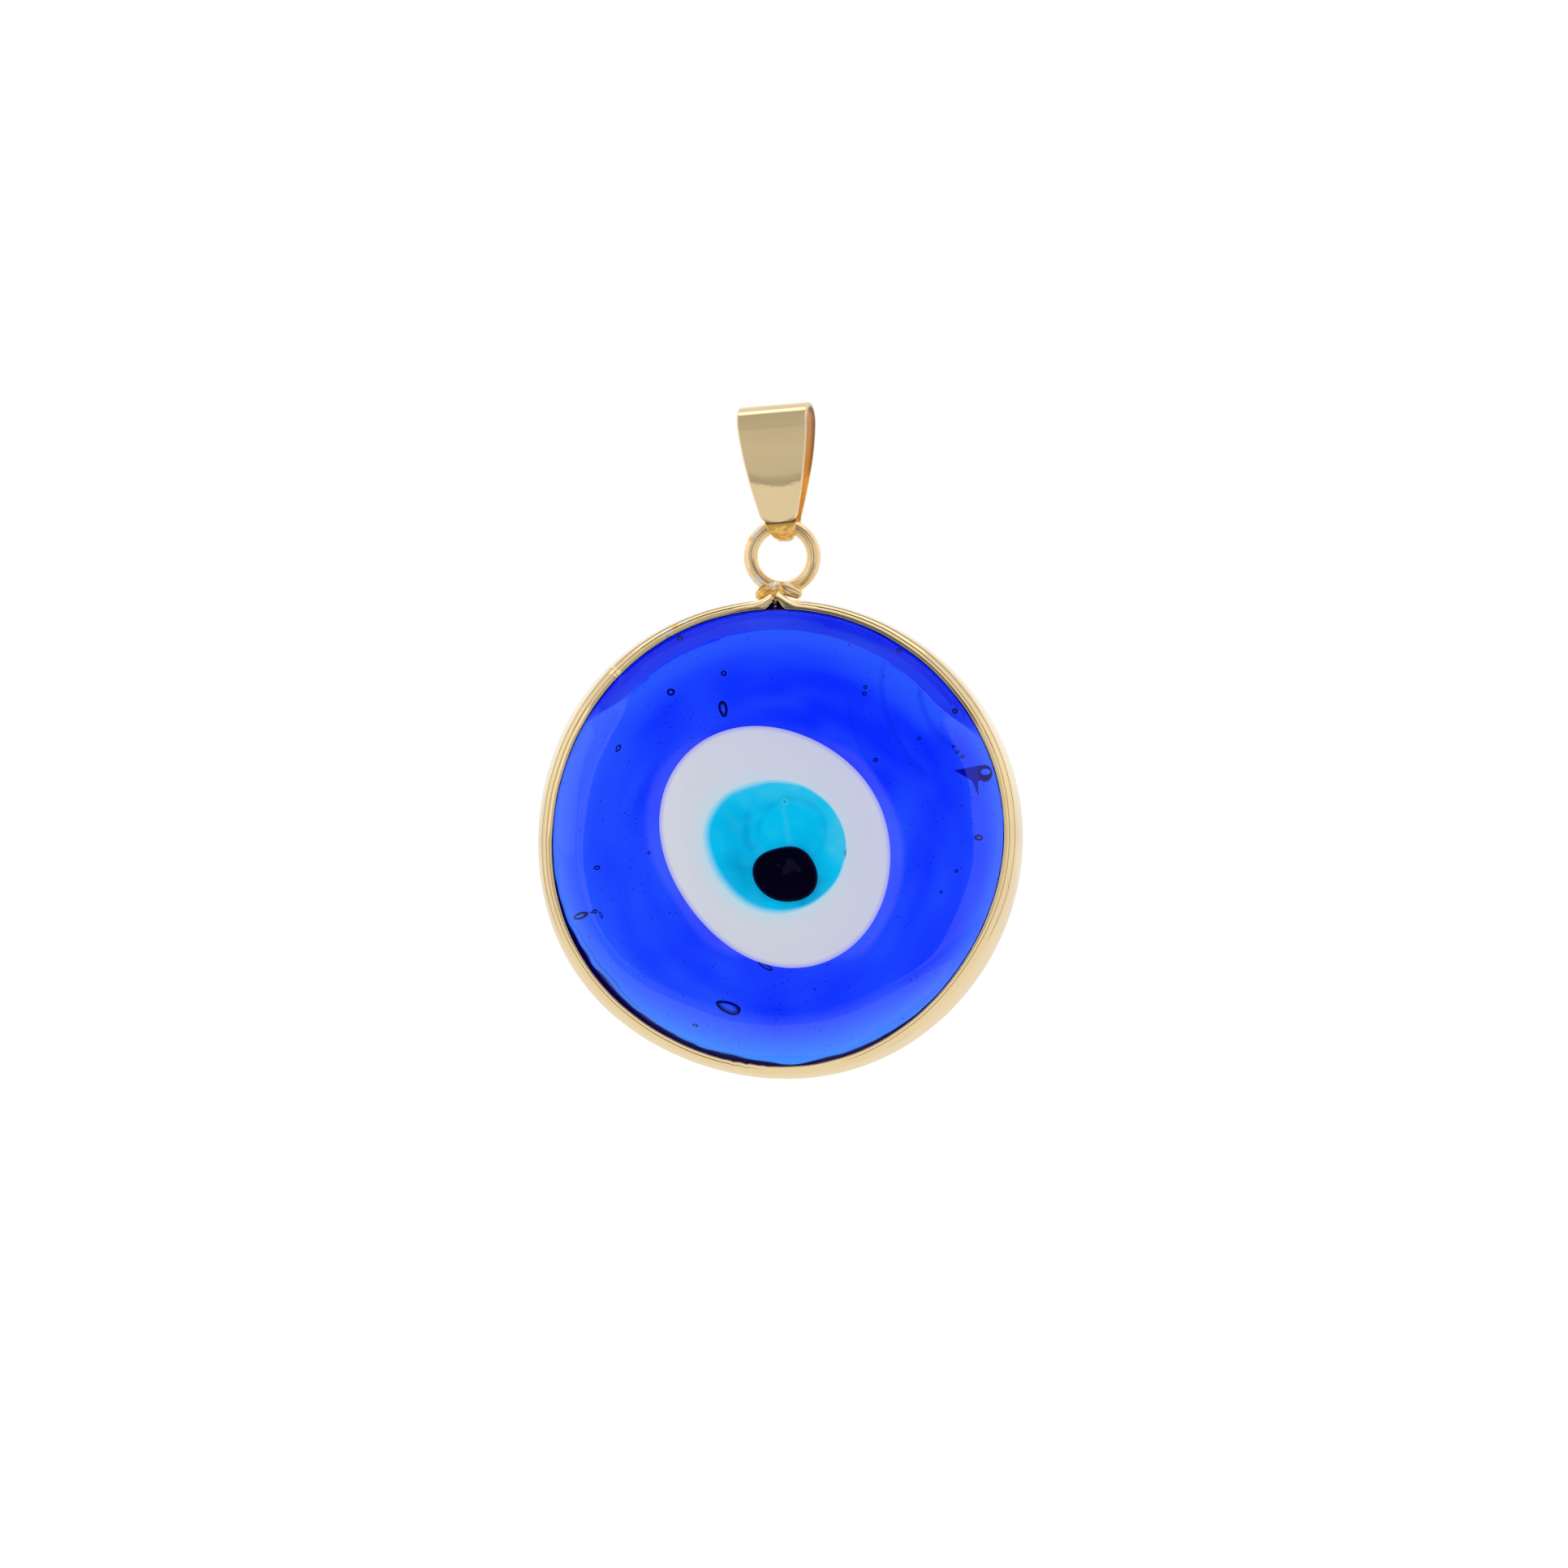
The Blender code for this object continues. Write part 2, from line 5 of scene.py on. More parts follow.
import bpy
import numpy as np
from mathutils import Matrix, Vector


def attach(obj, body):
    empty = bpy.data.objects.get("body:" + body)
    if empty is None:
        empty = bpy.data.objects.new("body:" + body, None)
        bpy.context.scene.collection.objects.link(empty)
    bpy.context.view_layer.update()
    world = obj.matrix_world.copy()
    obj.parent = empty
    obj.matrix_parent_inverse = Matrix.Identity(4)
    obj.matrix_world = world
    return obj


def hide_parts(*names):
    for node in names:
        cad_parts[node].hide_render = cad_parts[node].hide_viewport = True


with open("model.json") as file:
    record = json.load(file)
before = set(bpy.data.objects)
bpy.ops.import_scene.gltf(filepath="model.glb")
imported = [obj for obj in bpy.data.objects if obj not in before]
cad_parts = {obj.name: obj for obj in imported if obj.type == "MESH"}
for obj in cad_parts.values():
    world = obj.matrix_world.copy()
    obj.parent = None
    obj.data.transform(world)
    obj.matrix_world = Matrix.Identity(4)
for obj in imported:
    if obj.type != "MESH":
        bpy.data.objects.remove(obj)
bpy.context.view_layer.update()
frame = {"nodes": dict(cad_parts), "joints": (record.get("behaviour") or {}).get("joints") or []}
print("frame loaded:", sorted(frame["nodes"]))

mm = 0.001
fullTurn = 2 * np.pi


# Shared shape tools

def lobed(radius, lobes, angle):
    # round outline: a radius with cosine lobes, each (count, height as a share of the radius, crest)
    waving = (high * np.cos(count * (angle - np.radians(crest))) for count, high, crest in lobes)
    return radius * (1 + sum(waving))


def smoothStep(low, high, value):
    # 0 below low, 1 above high, an S curve between
    share = np.clip((value - low) / (high - low), 0, 1)
    return share * share * (3 - 2 * share)


def bump(value, middle, width):
    # bell curve, 1 at the middle
    return np.exp(-(((value - middle) / width) ** 2))


def mixed(a, b, share):
    return a + (b - a) * share


def onFace(x, z):
    # points of the disc's mid plane
    return np.stack([x, 0 * x, z], -1)


def ripple(points, wavelength, seed, count=9):
    # smooth unevenness about -1 to 1: the mean of sine waves that run in random directions
    draw = np.random.default_rng(seed)
    heading = draw.normal(size=(count, 3))
    heading /= np.linalg.norm(heading, axis=1, keepdims=True)
    pitch = draw.uniform(0.7, 1.5, count) * fullTurn / wavelength
    phase = draw.uniform(0, fullTurn, count)
    return np.sin(points @ (heading * pitch[:, None]).T + phase).mean(-1) * 2


def waves(points, *layers):
    # sum of uneven layers, each (height, wavelength, draw)
    return sum(high * ripple(points, length, draw) for high, length, draw in layers)


def shell(rows, startPole=None, endPole=None, **marks):
    # closed skin over rows of points [row, column, xyz]; columns wrap round, each end closes on a pole
    rowCount, colCount = rows.shape[:2]
    poles = np.array([rows[0].mean(0) if startPole is None else startPole,
                      rows[-1].mean(0) if endPole is None else endPole])
    points = np.concatenate([rows.reshape(-1, 3), poles])
    col = np.arange(colCount)
    nextCol = (col + 1) % colCount
    row = np.arange(rowCount - 1)[:, None] * colCount
    quads = np.stack([row + col, row + nextCol, row + colCount + nextCol, row + colCount + col], -1)
    lastRow = (rowCount - 1) * colCount
    first = np.full(colCount, rowCount * colCount)
    fans = np.concatenate([np.stack([first, nextCol, col], -1),
                           np.stack([first + 1, lastRow + col, lastRow + nextCol], -1)])
    full = {}
    for name, mark in marks.items():
        mark = np.broadcast_to(mark, (rowCount, colCount))
        full[name] = np.concatenate([mark.ravel(), [mark[0].mean(), mark[-1].mean()]])
    return {"points": points, "quads": quads.reshape(-1, 4), "fans": fans, "marks": full}


def enclosed(part):
    # signed volume of a shell, positive where its faces point out
    corners = [part["fans"], part["quads"][:, [0, 1, 2]], part["quads"][:, [0, 2, 3]]]
    a, b, c = np.moveaxis(part["points"][np.concatenate(corners)], 1, 0)
    return np.einsum("ij,ij->", a, np.cross(b, c)) / 6


def facing(part, outward=True):
    # turns every face of a shell out, or in where it is the wall of a bubble
    if (enclosed(part) > 0) != outward:
        part["quads"] = part["quads"][:, ::-1]
        part["fans"] = part["fans"][:, ::-1]
    return part


def addPiece(name, parts, material, body, node, crease=50):
    # one mesh from its shells, riding on its body in place of its node
    points, faces, marks = [], [], {}
    count = 0
    for part in parts:
        points.append(part["points"])
        faces += (part["quads"] + count).tolist() + (part["fans"] + count).tolist()
        count += len(part["points"])
    for mark in parts[0]["marks"]:
        marks[mark] = np.concatenate([part["marks"][mark] for part in parts])
    mesh = bpy.data.meshes.new(name)
    mesh.from_pydata((np.concatenate(points) * mm).tolist(), [], faces)
    for mark, values in marks.items():
        mesh.attributes.new(mark, "FLOAT", "POINT").data.foreach_set("value", values.astype(np.float32))
    mesh.validate()
    mesh.shade_smooth()
    mesh.set_sharp_from_angle(angle=np.radians(crease))
    mesh.materials.append(material)
    piece = bpy.data.objects.new(name, mesh)
    bpy.context.scene.collection.objects.link(piece)
    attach(piece, body)
    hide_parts(node)
    print("made", name, len(faces), "faces")


# Shared material tools

def newMaterial(name):
    material = bpy.data.materials.new(name)
    material.use_nodes = True
    tree = material.node_tree
    return material, tree, tree.nodes["Principled BSDF"]


def feed(tree, node, inputs):
    # gives a node its inputs, each a plain value or a socket to link from
    for key, value in inputs.items():
        if isinstance(value, bpy.types.NodeSocket):
            tree.links.new(value, node.inputs[key])
        else:
            node.inputs[key].default_value = value


def addNode(tree, kind, inputs=None, **settings):
    node = tree.nodes.new(kind)
    for key, value in settings.items():
        setattr(node, key, value)
    feed(tree, node, inputs or {})
    return node


def objectPlace(tree):
    return addNode(tree, "ShaderNodeTexCoord").outputs["Object"]


def markValue(tree, name):
    return addNode(tree, "ShaderNodeAttribute", attribute_name=name).outputs["Fac"]


def axesOf(tree, place):
    return addNode(tree, "ShaderNodeSeparateXYZ", {0: place}).outputs


def noiseValue(tree, place, size, detail=3.0):
    # noise whose features are about size millimetres across
    inputs = {"Vector": place, "Scale": 1 / (size * mm), "Detail": detail, "Roughness": 0.55}
    return addNode(tree, "ShaderNodeTexNoise", inputs).outputs["Fac"]


def spread(tree, value, low, high, toLow=0.0, toHigh=1.0, smooth=True):
    inputs = {"Value": value, "From Min": low, "From Max": high, "To Min": toLow, "To Max": toHigh}
    kind = "SMOOTHSTEP" if smooth else "LINEAR"
    return addNode(tree, "ShaderNodeMapRange", inputs, interpolation_type=kind).outputs["Result"]


def combine(tree, operation, a, b=0.0):
    return addNode(tree, "ShaderNodeMath", {0: a, 1: b}, operation=operation).outputs["Value"]


def times(tree, a, b):
    return combine(tree, "MULTIPLY", a, b)


def pointMath(tree, operation, a, b=(0, 0, 0)):
    # sums on points: a plain value for a length, distance or dot product, else a point
    node = addNode(tree, "ShaderNodeVectorMath", {0: a, 1: tuple(b)}, operation=operation)
    return node.outputs["Value" if operation in ("LENGTH", "DISTANCE", "DOT_PRODUCT") else "Vector"]


def between(tree, share, a, b):
    # a where share is 0, b where it is 1
    return addNode(tree, "ShaderNodeMix", {0: share, 2: a, 3: b}).outputs[0]


def layered(tree, colour, layers):
    # colours laid over one another, each (share, colour) and the way it blends where that is not a plain mix
    for share, over, *how in layers:
        node = addNode(tree, "ShaderNodeMix", data_type="RGBA", blend_type=how[0] if how else "MIX")
        feed(tree, node, {0: share, 6: colour, 7: over})
        colour = node.outputs[2]
    return colour


def byRay(tree, level, mirrored, through, shown):
    # one level for most rays, others for what is mirrored, seen through the glass or seen by the camera
    path = addNode(tree, "ShaderNodeLightPath").outputs
    for ray, value in (("Glossy", mirrored), ("Transmission", through), ("Camera", shown)):
        level = between(tree, path["Is " + ray + " Ray"], level, value)
    return level


def spotMask(tree, place, centre, radius, soft):
    # 1 inside a ball about a point of the frame, fading to 0 over a soft edge, all in metres
    return spread(tree, pointMath(tree, "DISTANCE", place, centre), radius + soft, radius)


# Frame of the drop: the hinge gives the top of the loop, the loop gives the middle of the disc

loop = {
    "radius": 1.95, "wire": 0.85, "x": 0.15, "lift": 0.31,
    "crossGap": 0.08, "crossSweep": 110, "footReach": 1.02, "footTip": 0.62, "footGap": 0.07, "footFall": 1.3,
    "turns": 420, "footSteps": 60, "sides": 40,
}

band = {
    "radius": 14.98, "lobes": ((2, 0.0057, -1), (4, 0.0043, 34), (5, 0.0028, -4)),
    "wall": 0.35, "glassGap": 0.08,
    "lipWidth": 0.30, "grooveWidth": 0.10, "grooveDepth": 0.05, "lipHeight": 0.28, "lineWidth": 0.045,
    "shoulder": 0.54, "shoulderLobes": ((1, 0.37, -35), (2, 0.35, -13), (4, 0.11, -40)),
    "backLip": 1.10, "seam": 91.2, "seamGap": 0.14, "calm": 8.0, "nick": (134.6, 0.55, 0.16),
    "steps": 900, "crowding": 0.78,
}


def bandRadius(angle):
    return lobed(band["radius"], band["lobes"], angle)


def glassRim(angle):
    return bandRadius(angle) - band["wall"] - band["glassGap"]


def lipRadius(angle):
    # inner edge of the front lip, where the glass comes into view
    wide = lobed(band["shoulder"], band["shoulderLobes"], angle)
    return bandRadius(angle) - wide - band["grooveWidth"] - band["lipWidth"]


loopRise = loop["lift"] + loop["wire"] / 2 + loop["radius"]
loopMiddle = np.array([loop["x"], 0, bandRadius(np.pi / 2) + loopRise])
hinge = np.array(frame["joints"][0]["pos_m"]) / mm
discMiddle = hinge - loopMiddle - [0, 0, loop["radius"]]
print("middle of the disc in mm:", discMiddle.round(4))


# Cobalt glass

glass = {  # a turn is the cosine or sine where one shape begins to give way to the next, and where it has
    "crownFront": 2.42, "crown": 0.18, "rimDrop": 0.70, "rimBack": 0.55, "backFace": 1.90,
    "topFall": 0.70, "topBevel": 1.28, "topLeft": (0.45, 0.72), "topRight": (0.38, 0.68),
    "topTurn": (-0.3, 0.3), "leftFall": 0.80, "rightFall": 0.55, "sideTurn": (-0.5, 0.6),
    "lowFall": 1.40, "lowAt": -108, "lowTurn": (-0.1, 0.9), "wideAt": -90, "wideTurn": (0.55, 0.98),
    "flange": 0.60, "sideSlope": 1.9, "lowSlope": 2.7, "slopeFrom": -0.35,
    "backTop": 2.1, "backLow": 3.6, "backTurn": (0.4, -0.9), "edgeTilt": 74, "edgePower": 1.4,
    "valley": 0.22, "valleyWidth": 1.25, "wave": (0.011, 5.5, 3), "bevelWave": (0.10, 6.5, 4),
    "turns": 400, "absorb": 990, "colour": (0.115, 0.455, 0.996, 1.0), "index": 1.5,
}


def edgeFall(share):
    # how far a rounded edge has fallen: 0 at its crease, 1 at the rim; the tilt grows towards the rim
    step = np.linspace(0, 1, 400)
    tilt = glass["edgeTilt"] * step ** glass["edgePower"]
    fall = np.concatenate([[0], np.cumsum(np.tan(np.radians(tilt[1:])))])
    return np.interp(1 - np.minimum(share, 1), step, fall / fall[-1])


def topShare(angle):
    # share of the crisp bevel: 1 at the top, 0 where the edge is soft; it reaches further down at the right
    right = smoothStep(*glass["topTurn"], np.cos(angle))
    low, full = ((1 - right) * a + right * b for a, b in zip(glass["topLeft"], glass["topRight"]))
    return smoothStep(low, full, np.sin(angle))


def bevelFall(inset, angle):
    # fall of the front below its crown at a distance in from the lip: a flat crisp bevel at the top,
    # elsewhere a soft step that ends in a thin flange, deepest at the bottom
    crisp = topShare(angle)
    hard = glass["topFall"] * np.maximum(crisp - inset / glass["topBevel"], 0)
    low, wide = (smoothStep(*glass[key + "Turn"], np.cos(angle - np.radians(glass[key + "At"])))
                 for key in ("low", "wide"))
    side = mixed(glass["leftFall"], glass["rightFall"], smoothStep(*glass["sideTurn"], np.cos(angle)))
    step = mixed(side, glass["lowFall"], low)
    slope = mixed(glass["sideSlope"], glass["lowSlope"], wide)
    soft = step * (1 - smoothStep(glass["slopeFrom"], 1, (inset - glass["flange"] * wide) / slope))
    under = glass["rimDrop"] * np.clip(-inset / (glassRim(angle) - lipRadius(angle)), 0, 1) ** 2
    return crisp * hard + (1 - crisp) * soft + under


def dotReach(dot, x, z):
    # distance outside a dot's outline, negative inside
    dx, dz = x - dot["x"], z - dot["z"]
    return np.hypot(dx, dz) - lobed(dot["radius"], dot["lobes"], np.arctan2(dz, dx))


def nearDot(dot, x, z, reach):
    # 1 on a dot, fading outside it
    return np.exp(-np.maximum(dotReach(dot, x, z), 0) / reach)


def towards(dot, x, z, at):
    # 1 in one direction from a dot's centre, 0 in the opposite one
    return 0.5 + 0.5 * np.cos(np.arctan2(z - dot["z"], x - dot["x"]) - np.radians(at))


def rimPlace(x, z):
    # direction of a point from the disc's middle, and how far in from the lip it lies
    angle = np.arctan2(z, x)
    return angle, lipRadius(angle) - np.hypot(x, z)


def frontHeight(x, z):
    # height of the glass front over the disc's mid plane: bevel, low crown, and a valley round the white dot
    angle, inset = rimPlace(x, z)
    wavy = inset + waves(onFace(x, z), glass["bevelWave"]) * smoothStep(0, 1, inset)
    climb = np.clip((inset - glass["topBevel"]) / (lipRadius(angle) - glass["topBevel"]), 0, 1)
    crown = glass["crown"] * (1 - (1 - climb) ** 2)
    valley = glass["valley"] * nearDot(whiteDot, x, z, glass["valleyWidth"])
    wave = waves(onFace(x, z), glass["wave"]) * smoothStep(0, 2, inset)
    return glass["crownFront"] - bevelFall(wavy, angle) + crown - valley + wave


def backHeight(x, z):
    # the back is flat with a rounded edge, widest at the bottom
    angle = np.arctan2(z, x)
    inset = np.maximum(glassRim(angle) - np.hypot(x, z), 0)
    wide = mixed(glass["backTop"], glass["backLow"], smoothStep(*glass["backTurn"], np.sin(angle)))
    return glass["backFace"] - edgeFall(inset / wide) * (glass["backFace"] - glass["rimBack"])


# Dots of the eye: radius, lobes and centre as in the frame; bulge is the height of the middle over the edge

whiteDot = {
    "radius": 7.23, "lobes": ((2, 0.0813, -53), (3, 0.0177, 32), (4, 0.0051, 29)), "x": -0.25, "z": -0.35,
    "depth": 1.25, "bulge": 0.12, "round": 6, "turns": 280, "rows": 90,
}
skyDot = {
    "radius": 4.27, "lobes": ((2, 0.0429, -22), (3, 0.0183, 33), (4, 0.0094, -21)), "x": -0.29, "z": -0.38,
    "depth": 0.80, "bulge": 0.04, "round": 4, "turns": 420, "rows": 130,
}
blackDot = {
    "radius": 1.86, "lobes": ((2, 0.0839, -8), (3, 0.0237, -59), (4, 0.0204, -24)), "x": 0.36, "z": -2.15,
    "depth": 0.42, "bulge": 0.02, "round": 4, "turns": 240, "rows": 70,
}
sunkSide = ((0.995, 0.25), (0.97, 0.60), (0.92, 0.88), (0.84, 1.0), (0.4, 1.0))  # shares of outline and depth


def swell(dot, x, z):
    # a dot's face over its edge: steep at the edge, flat in the middle
    inside = np.clip(-dotReach(dot, x, z) / dot["radius"], 0, 1)
    return dot["bulge"] * (1 - (1 - inside) ** dot["round"])


def eyeHeight(x, z, dots):
    # height of the face on a stack of dots, each swelling over the one below
    return frontHeight(x, z) + sum(swell(dot, x, z) for dot in dots)


def ringAt(dot, angle, reach, share=1.0):
    # outline of a dot moved out by reach, or drawn in to a share of itself
    r = (lobed(dot["radius"], dot["lobes"], angle) + reach) * share
    return dot["x"] + r * np.cos(angle), dot["z"] + r * np.sin(angle)


def sunkRows(dot, angle, reach, deep):
    # side of a dot or of its bed, from below the edge down to the floor
    floor = frontHeight(np.array(dot["x"]), np.array(dot["z"])) - deep
    edge = frontHeight(*ringAt(dot, angle, 0))
    rows = []
    for share, low in sunkSide:
        x, z = ringAt(dot, angle, reach, share)
        rows.append(np.stack([x, -mixed(edge, floor, low), z], -1))
    return rows


def dotShell(dot, stack):
    # faces from the middle out to a rounded edge, then down the sunk side to the floor
    angle = np.linspace(0, fullTurn, dot["turns"], endpoint=False)
    rows, edges = [], []
    for share in np.linspace(0.02, 1, dot["rows"]) ** 0.8:
        x, z = ringAt(dot, angle, 0, share)
        rows.append(np.stack([x, -eyeHeight(x, z, stack + [dot]), z], -1))
        edges.append(-dotReach(dot, x, z))
    side = sunkRows(dot, angle, 0, dot["depth"])
    edges += [np.zeros_like(angle)] * len(side)
    return facing(shell(np.array(rows + side) + discMiddle, edge=np.array(edges)))


paintedRimShade = {  # painted shade round the rim, seen through the glass; a part is (strength, direction, spread)
    "thin": 0.06, "wide": ((0.42, -138, 22), (0.24, -98, 24), (0.16, -66, 14)), "gap": (0.7, -87, 5),
    "uneven": ((0.16, 2.6, 8), (0.12, 1.0, 9)), "soft": (0.75, 1.1),
    "second": (0.75, -142, 16), "secondAt": 0.13, "secondBend": (0.12, -150, 12), "secondWidth": 0.05,
    "hair": 0.7, "hairAt": 120, "hairPlace": (0.03, 0.05),
}


def rimShade(x, z):
    # painted shade: a thin dark line all round the lip, wide at the lower left and the bottom, with a fainter
    # line beside it, and a hair line round the upper left of the white dot
    angle, fromLip = rimPlace(x, z)

    def near(strength, at, reach):
        return strength * bump(np.degrees(angle), at, reach)

    wide = paintedRimShade["thin"] + sum(near(*part) for part in paintedRimShade["wide"])
    wide = wide * (1 + waves(onFace(x, z), *paintedRimShade["uneven"])) * (1 - near(*paintedRimShade["gap"]))
    rim = 1 - smoothStep(*paintedRimShade["soft"], fromLip / wide)
    second = bump(fromLip, wide + paintedRimShade["secondAt"] + near(*paintedRimShade["secondBend"]), paintedRimShade["secondWidth"])
    hair = bump(dotReach(whiteDot, x, z), *paintedRimShade["hairPlace"]) * towards(whiteDot, x, z, paintedRimShade["hairAt"])
    return np.maximum(np.maximum(rim, second * near(*paintedRimShade["second"])), paintedRimShade["hair"] * hair)


blue = {
    "depth": (  # direction, share of the full depth
        (-160, 0.57), (-135, 0.60), (-115, 0.62), (-90, 0.80), (-70, 0.73), (-45, 0.67), (-20, 0.58),
        (0, 0.74), (20, 0.80), (45, 0.92), (90, 0.84), (130, 0.84), (155, 0.62), (180, 0.50),
    ),
    "rightTurn": (0.2, 0.9), "lowTurn": (-0.3, -0.9),
    "begin": (0.9, -0.5, 0.7), "run": (2.5, -1.1, -0.7),  # distance in from the lip, its change right and low
    "pastBevel": 0.2, "topVeil": 0.12, "wedge": 1.5, "wedgeEnd": 0.4, "paleRight": (0.27, 0.9),
    "streaks": ((0.16, 5.0, 71), (0.10, 2.2, 72)), "clouds": (0.14, 6.0, 73),
    "streakAlong": 6, "streakAcross": 2.6, "coolInset": (1.2, 2.6), "coolTurn": (0.3, 0.9),
}


def glassDepth(x, z):
    # how deep the blue is: clear at the thin rim but very deep on the top bevel, which runs out to a wedge
    # at both sides and is painted shade, light just inside it, deeper to the right and the bottom, with
    # streaks round the disc
    angle, inset = rimPlace(x, z)
    right, low = smoothStep(*blue["rightTurn"], np.cos(angle)), smoothStep(*blue["lowTurn"], np.sin(angle))
    crisp = topShare(angle)
    wedge = glass["topBevel"] * crisp
    start, toRight, toLow = blue["begin"]
    begin = (start + toRight * right + toLow * low) * (1 - crisp) + (wedge + blue["pastBevel"]) * crisp
    length, toRight, toLow = blue["run"]
    body = smoothStep(begin, begin + length + (toRight * right + toLow * low) * (1 - crisp), inset)
    body = body + blue["topVeil"] * crisp * (1 - body)
    # painted shade: the top bevel's wedge goes deeper than full depth
    body = np.where(inset < wedge, mixed(body, blue["wedge"], smoothStep(0, blue["wedgeEnd"], crisp)), body)
    deep = np.interp(np.degrees(angle), *np.array(blue["depth"]).T, period=360)
    pale, reach = blue["paleRight"]
    streaks = np.stack([blue["streakAlong"] * np.cos(angle), blue["streakAcross"] * np.hypot(x, z),
                        blue["streakAlong"] * np.sin(angle)], -1)
    drift = waves(streaks, *blue["streaks"]) + waves(onFace(x, z), blue["clouds"])
    return body * np.clip(deep - pale * nearDot(whiteDot, x, z, reach) * right + drift, 0, 1)


def glassCool(x, z):
    # painted light: the thin rim tinted azure along the bottom and the lower left
    angle, inset = rimPlace(x, z)
    low = smoothStep(*blue["coolTurn"], np.cos(angle - np.radians(glass["lowAt"])))
    return (1 - smoothStep(*blue["coolInset"], inset)) * low


def glassShell():
    # lens from the back's middle round the rim to the white dot's bed; rows crowd at the rim
    angle = np.linspace(0, fullTurn, glass["turns"], endpoint=False)
    rim = glassRim(angle)
    rows, marks = [], {"shade": [], "depth": [], "cool": []}

    def add(x, y, z, shade):
        rows.append(np.stack([x, y, z], -1))
        for mark, values in zip(marks.values(), (shade, glassDepth(x, z), glassCool(x, z))):
            mark.append(values)

    for share in np.concatenate([np.linspace(0.02, 0.8, 12), 1 - np.linspace(0.447, 0, 26)[1:-1] ** 2]):
        x, z = rim * share * np.cos(angle), rim * share * np.sin(angle)
        add(x, backHeight(x, z), z, 0 * angle)
    edgeX, edgeZ = ringAt(whiteDot, angle, 0)
    for share in np.concatenate([np.linspace(0, 0.4, 84) ** 1.25, np.linspace(0.32, 1, 42)[1:]]):
        x = rim * np.cos(angle) * (1 - share) + edgeX * share
        z = rim * np.sin(angle) * (1 - share) + edgeZ * share
        add(x, -frontHeight(x, z), z, rimShade(x, z))
    bed = sunkRows(whiteDot, angle, -0.02, whiteDot["depth"] - 0.03)
    full = {name: np.array(values + [0 * angle] * len(bed)) for name, values in marks.items()}
    return facing(shell(np.array(rows + bed) + discMiddle, **full))


# Bubbles: x, z, length, width, tilt and, where it is not a half, the share of the glass in front of them

bubbles = (
    (-3.52, 8.10, 1.00, 0.58, 100), (-6.75, 9.10, 0.52, 0.48, 0), (-3.47, 10.26, 0.38, 0.36, 0),
    (-6.05, 12.16, 0.42, 0.38, 0), (-10.0, 5.63, 0.52, 0.30, 60), (-3.19, -10.33, 1.62, 0.60, -19),
    (-5.13, -11.22, 0.36, 0.24, -15), (5.28, 9.41, 0.26, 0.26, 0), (5.23, 9.00, 0.30, 0.28, 0),
    (7.20, 11.44, 0.34, 0.30, 0), (5.94, 4.93, 0.32, 0.28, 40), (10.67, 7.75, 0.40, 0.36, 0, 0.4),
    (12.18, 0.10, 0.44, 0.38, -20), (10.92, -1.96, 0.24, 0.22, 0), (9.97, -3.27, 0.22, 0.20, 0),
    (8.61, 6.24, 0.24, 0.22, 0), (-11.32, -1.76, 0.42, 0.28, 10), (-8.15, -0.86, 0.22, 0.22, 0),
    (10.72, 5.74, 0.22, 0.20, 0, 0.4), (10.97, 5.39, 0.24, 0.22, 0, 0.4), (11.22, 5.08, 0.24, 0.22, 0, 0.4),
    (-12.02, -4.62, 0.86, 0.42, 18), (-11.43, -4.46, 0.30, 0.28, 18), (-11.07, -4.68, 0.50, 0.18, -65),
    (-0.95, -7.95, 1.05, 0.30, -28),
)
hollow = {
    # wall and wallEdge: strength of the painted shade on a bubble's wall, and where it fades
    "crowding": 0.3, "point": 0.25, "wall": 0.8, "wallEdge": (0.58, 0.88),
    "faces": ((100, 22, 56), (60, 13, 36)),  # round it and from pole to pole: per mm of length, least, most
}
seeds = {
    "count": 330, "sizes": (0.034, 0.094), "ring": (6.5, 14.0), "shares": (0.25, 0.75), "draw": 11,
    "clearOfRim": 0.9, "clearOfDot": 0.3, "flat": 0.95, "faces": (6, 3),
    "crowds": ((-5.8, 6.2, 0.9, 40), (-0.4, -9.6, 1.8, 70), (9.0, 1.5, 2.2, 50), (-9.2, 0.5, 1.9, 50)),
}
paintedShadow = {  # painted shadow beside a large bubble that is painted too: corners of the shadow's leaves, then the bubble's dark wall and clear middle
    "leaves": (
        ((10.73, 4.27), (11.83, 3.64), (12.30, 3.56), (12.62, 4.00), (12.48, 4.62)),
        ((11.80, 3.72), (12.27, 2.68), (12.24, 3.72)),
    ),
    "colour": (0.002, 0.002, 0.130, 1), "leafEdge": (-0.02, 0.03), "ovalEdge": 1.06, "halfWay": 0.2,
    "ovals": (  # x, z, half width, half height, share where it is full, colour
        (12.67, 4.08, 0.47, 0.54, 0.90, (0.001, 0.000, 0.030, 1)),
        (12.71, 4.18, 0.32, 0.20, 0.70, (1, 1, 1, 1)),
    ),
}
cobalt = {
    "clear": (1, 1, 1, 1), "body": (0.10, 0.24, 1.00, 1), "paintedBevelShade": (0.004, 0.086, 0.95, 1),
    "deepestAt": (1.0, 1.5), "azure": (0.42, 1.00, 1.00, 1), "paintedRimShade": (0.0012, 0.000, 0.0035, 1),
    "cord": (0.05, 0.16, 0.80, 1), "cordShare": 0.55, "cordLine": (0.90, 1.0),
    "cordMiddle": (13.3, 0, 9.3), "cordsAt": (8.0, -2.3, 7.2), "cordsReach": 2.6,
    "cordWave": {"Scale": 150, "Distortion": 1.6, "Detail": 2.0, "Detail Scale": 0.6},
}


